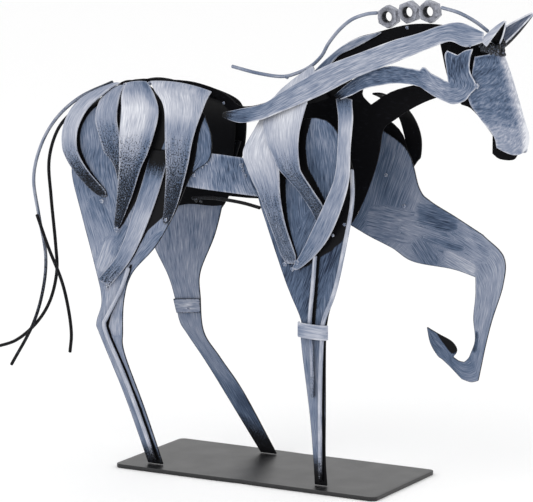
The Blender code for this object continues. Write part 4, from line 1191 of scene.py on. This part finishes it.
# Weld beads as (x, outwards from the middle towards the far side, z, share of the weld size)
WELDS = [(-86.9, -26.6, 135.4, 1.1), (-78.2, -26.6, 121.3, 1.25), (-48.6, -26.6, 128.6, 1.0), (-85.2, -26, 90.2, 1.1),
         (20.7, -26.8, 111.6, 1.1), (28.4, -28, 113.4, 1.3), (25.4, -27.6, 109.6, 1.0), (54.2, -26.6, 134.2, .8),
         (47.8, -26.6, 128.3, .8), (7.4, -.3, 202.3, 1.1), (22, -.3, 207.3, 1.1), (-33.4, -24, 152.4, 1.0),
         (-26.3, -24, 159.0, .9), (-28.4, -24, 156.9, .7),
         (-5.6, -24, 159.2, 1.1), (-4.8, -24, 156.5, .8), (-3.6, -24, 154.1, .9), (51.4, 24, 152.3, .9),
         (61.7, 24, 137.2, .9), (-64.5, 22.6, 73.3, .7), (75, -.6, 230.5, .9), (-29, -1, 187, .7),
         (-71.7, -3, 194.9, 1.1), (-86.8, -3, 193.1, 1.2), (-58, -2, 194.9, .9), (-50, -1.5, 194.3, .8),
         (118.2, -11.2, 205.1, 1.3), (113.7, -9.8, 224.4, .8)]
POLL = [(119.5, -6, 223.4, 2.6), (122.2, -5, 222.8, 2.9), (125, -4, 222.4, 2.8), (127, -1.8, 221, 2.2),
        (122, 1.5, 223.6, 3.0), (123.4, 5.6, 224.2, 2.6), (-33.3, -22, 139.3, 1.0), (-30.5, -22, 138.9, .8)]


class HORSE_OT_welds(bpy.types.Operator):
    """Make the weld beads and the lump of weld that holds the ears"""
    bl_idname = "horse.welds"
    bl_label = "Welds"

    def execute(self, context):
        weld = brushed_paint("brushed_weld", strength=0.7, metallic=0.3, specular=0.5)
        poll = brushed_paint("brushed_poll", strength=0.9, specular=0.3)
        self.beads("weld_beads", WELDS, weld, "bare_steel", tone=0.75, cover=0.9)
        self.beads("poll_weld", POLL, poll, "black_paint", tone=0.6, cover=0.3)
        return {"FINISHED"}

    def beads(self, name, spots, material, slot_name, tone, cover, rows=14, columns=22):
        """Lumpy beads about axes across the statue.

        A bead's radius is its size times one plus three small sines of the two angles, each bead with its
        own start, and it is flattened to seven tenths along its axis. The ring about the axis is lighter.
        """
        x, y, z, share = np.array(spots).T[:, :, None, None]
        start = np.arange(len(spots))[:, None, None] * 2.4
        slope = np.linspace(0.12, math.pi - 0.12, rows)[None, :, None]
        angle = np.linspace(0, 2 * math.pi, columns, endpoint=False)[None, None, :]
        lumps = (0.13 * np.sin(3 * angle + start) * np.sin(2 * slope + start) + 0.10 * np.sin(5 * angle - 2 * start)
                 * np.sin(slope) + 0.07 * np.sin(4 * slope + 3 * start) * np.sin(2 * angle))
        radius = sizes().weld * share * (1 + lumps)
        ring = np.sin(slope)
        points = np.stack([x * square() + radius * ring * np.cos(angle),
                           y * square() - 0.7 * radius * np.cos(slope),
                           z * square() + sole() + radius * ring * np.sin(angle)], axis=-1)
        index = np.arange(points[..., 0].size).reshape(points.shape[:3])
        following = np.roll(index, -1, axis=2)
        quads = np.stack([index[:, :-1], following[:, :-1], following[:, 1:], index[:, 1:]], axis=-1).reshape(-1, 4)
        ends = index[:, 0, ::-1].tolist() + index[:, -1].tolist()
        light = tone * (0.45 + 0.55 * np.sin(slope) ** 2) + 0.9 * lumps
        spread = np.ones(points.shape[:3])
        paint = np.stack([light * spread, cover * spread, 0.5 * spread], axis=-1).reshape(-1, 3)
        grain = np.stack([points[..., 0] + next(seeds), points[..., 2], 0 * spread], axis=-1).reshape(-1, 3)
        to_object(name, points.reshape(-1, 3), Faces(quads, ends), grain, paint, material, [])


BASE_CORNER, BASE_INSET = 0.003, 0.0002   # corner radius, and how far the edge keeps inside the CAD's, in metres


class HORSE_OT_base(bpy.types.Operator):
    """Make the base plate

    Its rows run along the plate from one long side to the other, and near each side they shorten by a
    quarter circle, which rounds the corners.
    """
    bl_idname = "horse.base"
    bl_label = "Base plate"

    def execute(self, context):
        low, high = (np.array(corner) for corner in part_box("base_plate"))
        half, corner = (high - low) / 2 - (BASE_INSET, BASE_INSET, 0), BASE_CORNER
        arc = np.radians(np.linspace(0, 90, 9))
        y = np.concatenate([-(half[1] - corner + corner * np.sin(arc[::-1])),
                            np.linspace(-(half[1] - corner), half[1] - corner, 21)[1:-1],
                            half[1] - corner + corner * np.sin(arc)])
        reach = np.concatenate([half[0] - corner + corner * np.cos(arc[::-1]), np.full(19, half[0]),
                                half[0] - corner + corner * np.cos(arc)])
        share = np.linspace(-1, 1, 61)[None]
        middle = (low + high) / 2
        grid = np.stack([middle[0] + reach[:, None] * share, middle[1] + y[:, None] + 0 * share,
                         middle[2] + 0 * y[:, None] * share], axis=-1)
        plain = Look([(0, .3, 0, 0), (1, .3, 0, 0)], rim=(.3, 0))
        paint = black_paint("base_black", specular=0.55, roughness=0.38, dust=0.16)
        sheet("base_plate_rounded", grid, plain, paint, ["base_plate"], outward=(0, 0, 1), slot_name="black_paint",
              thickness=high[2] - low[2])
        return {"FINISHED"}


FLOOR_HALF, FLOOR_DROP = 3.0, 0.0002      # half the floor's side, and its depth below the base, in metres
LAMP_TARGET = Vector((0, 0, 0.12))
CAMERA_TARGET = Vector((-0.0046, 0, 0.1145))


class HORSE_OT_stage(bpy.types.Operator):
    """Make the pale floor, the soft light and the camera"""
    bl_idname = "horse.stage"
    bl_label = "Floor, light and camera"

    def execute(self, context):
        scene, stage = bpy.context.scene, bpy.context.scene.horse_stage
        mesh = bpy.data.meshes.new("floor")
        corners = ((-1, -1), (1, -1), (1, 1), (-1, 1))
        mesh.from_pydata([(x * FLOOR_HALF, y * FLOOR_HALF, -FLOOR_DROP) for x, y in corners], [], [(0, 1, 2, 3)])
        floor = bpy.data.objects.new("floor", mesh)
        scene.collection.objects.link(floor)
        material = bpy.data.materials.new("floor")
        material.use_nodes = True
        shader = material.node_tree.nodes["Principled BSDF"]
        shader.inputs["Base Color"].default_value = (*scene.horse_colours.floor, 1)
        shader.inputs["Roughness"].default_value = 0.8
        mesh.materials.append(material)

        sky = bpy.data.worlds.new("studio")
        scene.world = sky
        sky.use_nodes = True
        sky.node_tree.nodes["Background"].inputs["Color"].default_value = (1, 1, 1, 1)
        sky.node_tree.nodes["Background"].inputs["Strength"].default_value = stage.sky
        for name, spot, size, power in (("softbox", (-0.7, -1.0, 1.1), 1.0, stage.softbox),
                                        ("side_light", (1.2, -0.5, 0.6), 0.6, stage.softbox * 0.25)):
            lamp = bpy.data.lights.new(name, "AREA")
            lamp.energy = power
            lamp.size = size
            body = bpy.data.objects.new(name, lamp)
            scene.collection.objects.link(body)
            body.location = spot
            body.rotation_euler = (LAMP_TARGET - Vector(spot)).to_track_quat("-Z", "Y").to_euler()

        camera = bpy.data.cameras.new("camera")
        camera.lens = stage.lens
        camera.sensor_width = 36
        camera.clip_start = 0.05
        view = bpy.data.objects.new("camera", camera)
        scene.collection.objects.link(view)
        a, e = stage.azimuth, stage.elevation
        back = Vector((math.sin(a) * math.cos(e), -math.cos(a) * math.cos(e), math.sin(e)))
        view.location = CAMERA_TARGET + back * stage.distance
        view.rotation_euler = (-back).to_track_quat("-Z", "Y").to_euler()
        scene.camera = view
        scene.view_settings.view_transform = "Standard"
        return {"FINISHED"}


class HORSE_PT_panel(bpy.types.Panel):
    bl_idname = "HORSE_PT_panel"
    bl_label = "Horse"
    bl_space_type = "VIEW_3D"
    bl_region_type = "UI"
    bl_category = "Horse"

    def draw(self, context):
        for group in (context.scene.horse_sizes, context.scene.horse_colours, context.scene.horse_stage):
            box = self.layout.box()
            for name in group.bl_rna.properties.keys():
                if name not in ("rna_type", "name"):
                    box.prop(group, name)
        for operator in OPERATORS:
            self.layout.operator(operator.bl_idname)


OPERATORS = (HORSE_OT_base, HORSE_OT_legs, HORSE_OT_strips, HORSE_OT_belly, HORSE_OT_neck, HORSE_OT_head,
             HORSE_OT_nuts, HORSE_OT_rods, HORSE_OT_bracelets, HORSE_OT_welds, HORSE_OT_stage)
GROUPS = {"horse_sizes": HorseSizes, "horse_colours": HorseColours, "horse_stage": HorseStage}


def register():
    for kind in (*GROUPS.values(), *OPERATORS, HORSE_PT_panel):
        bpy.utils.register_class(kind)
    for name, kind in GROUPS.items():
        setattr(bpy.types.Scene, name, bpy.props.PointerProperty(type=kind))


def unregister():
    for name in GROUPS:
        delattr(bpy.types.Scene, name)
    for kind in reversed((*GROUPS.values(), *OPERATORS, HORSE_PT_panel)):
        bpy.utils.unregister_class(kind)


def main():
    register()
    for operator in OPERATORS:
        group, name = operator.bl_idname.split(".")
        getattr(getattr(bpy.ops, group), name)()


if __name__ == "__main__":
    main()
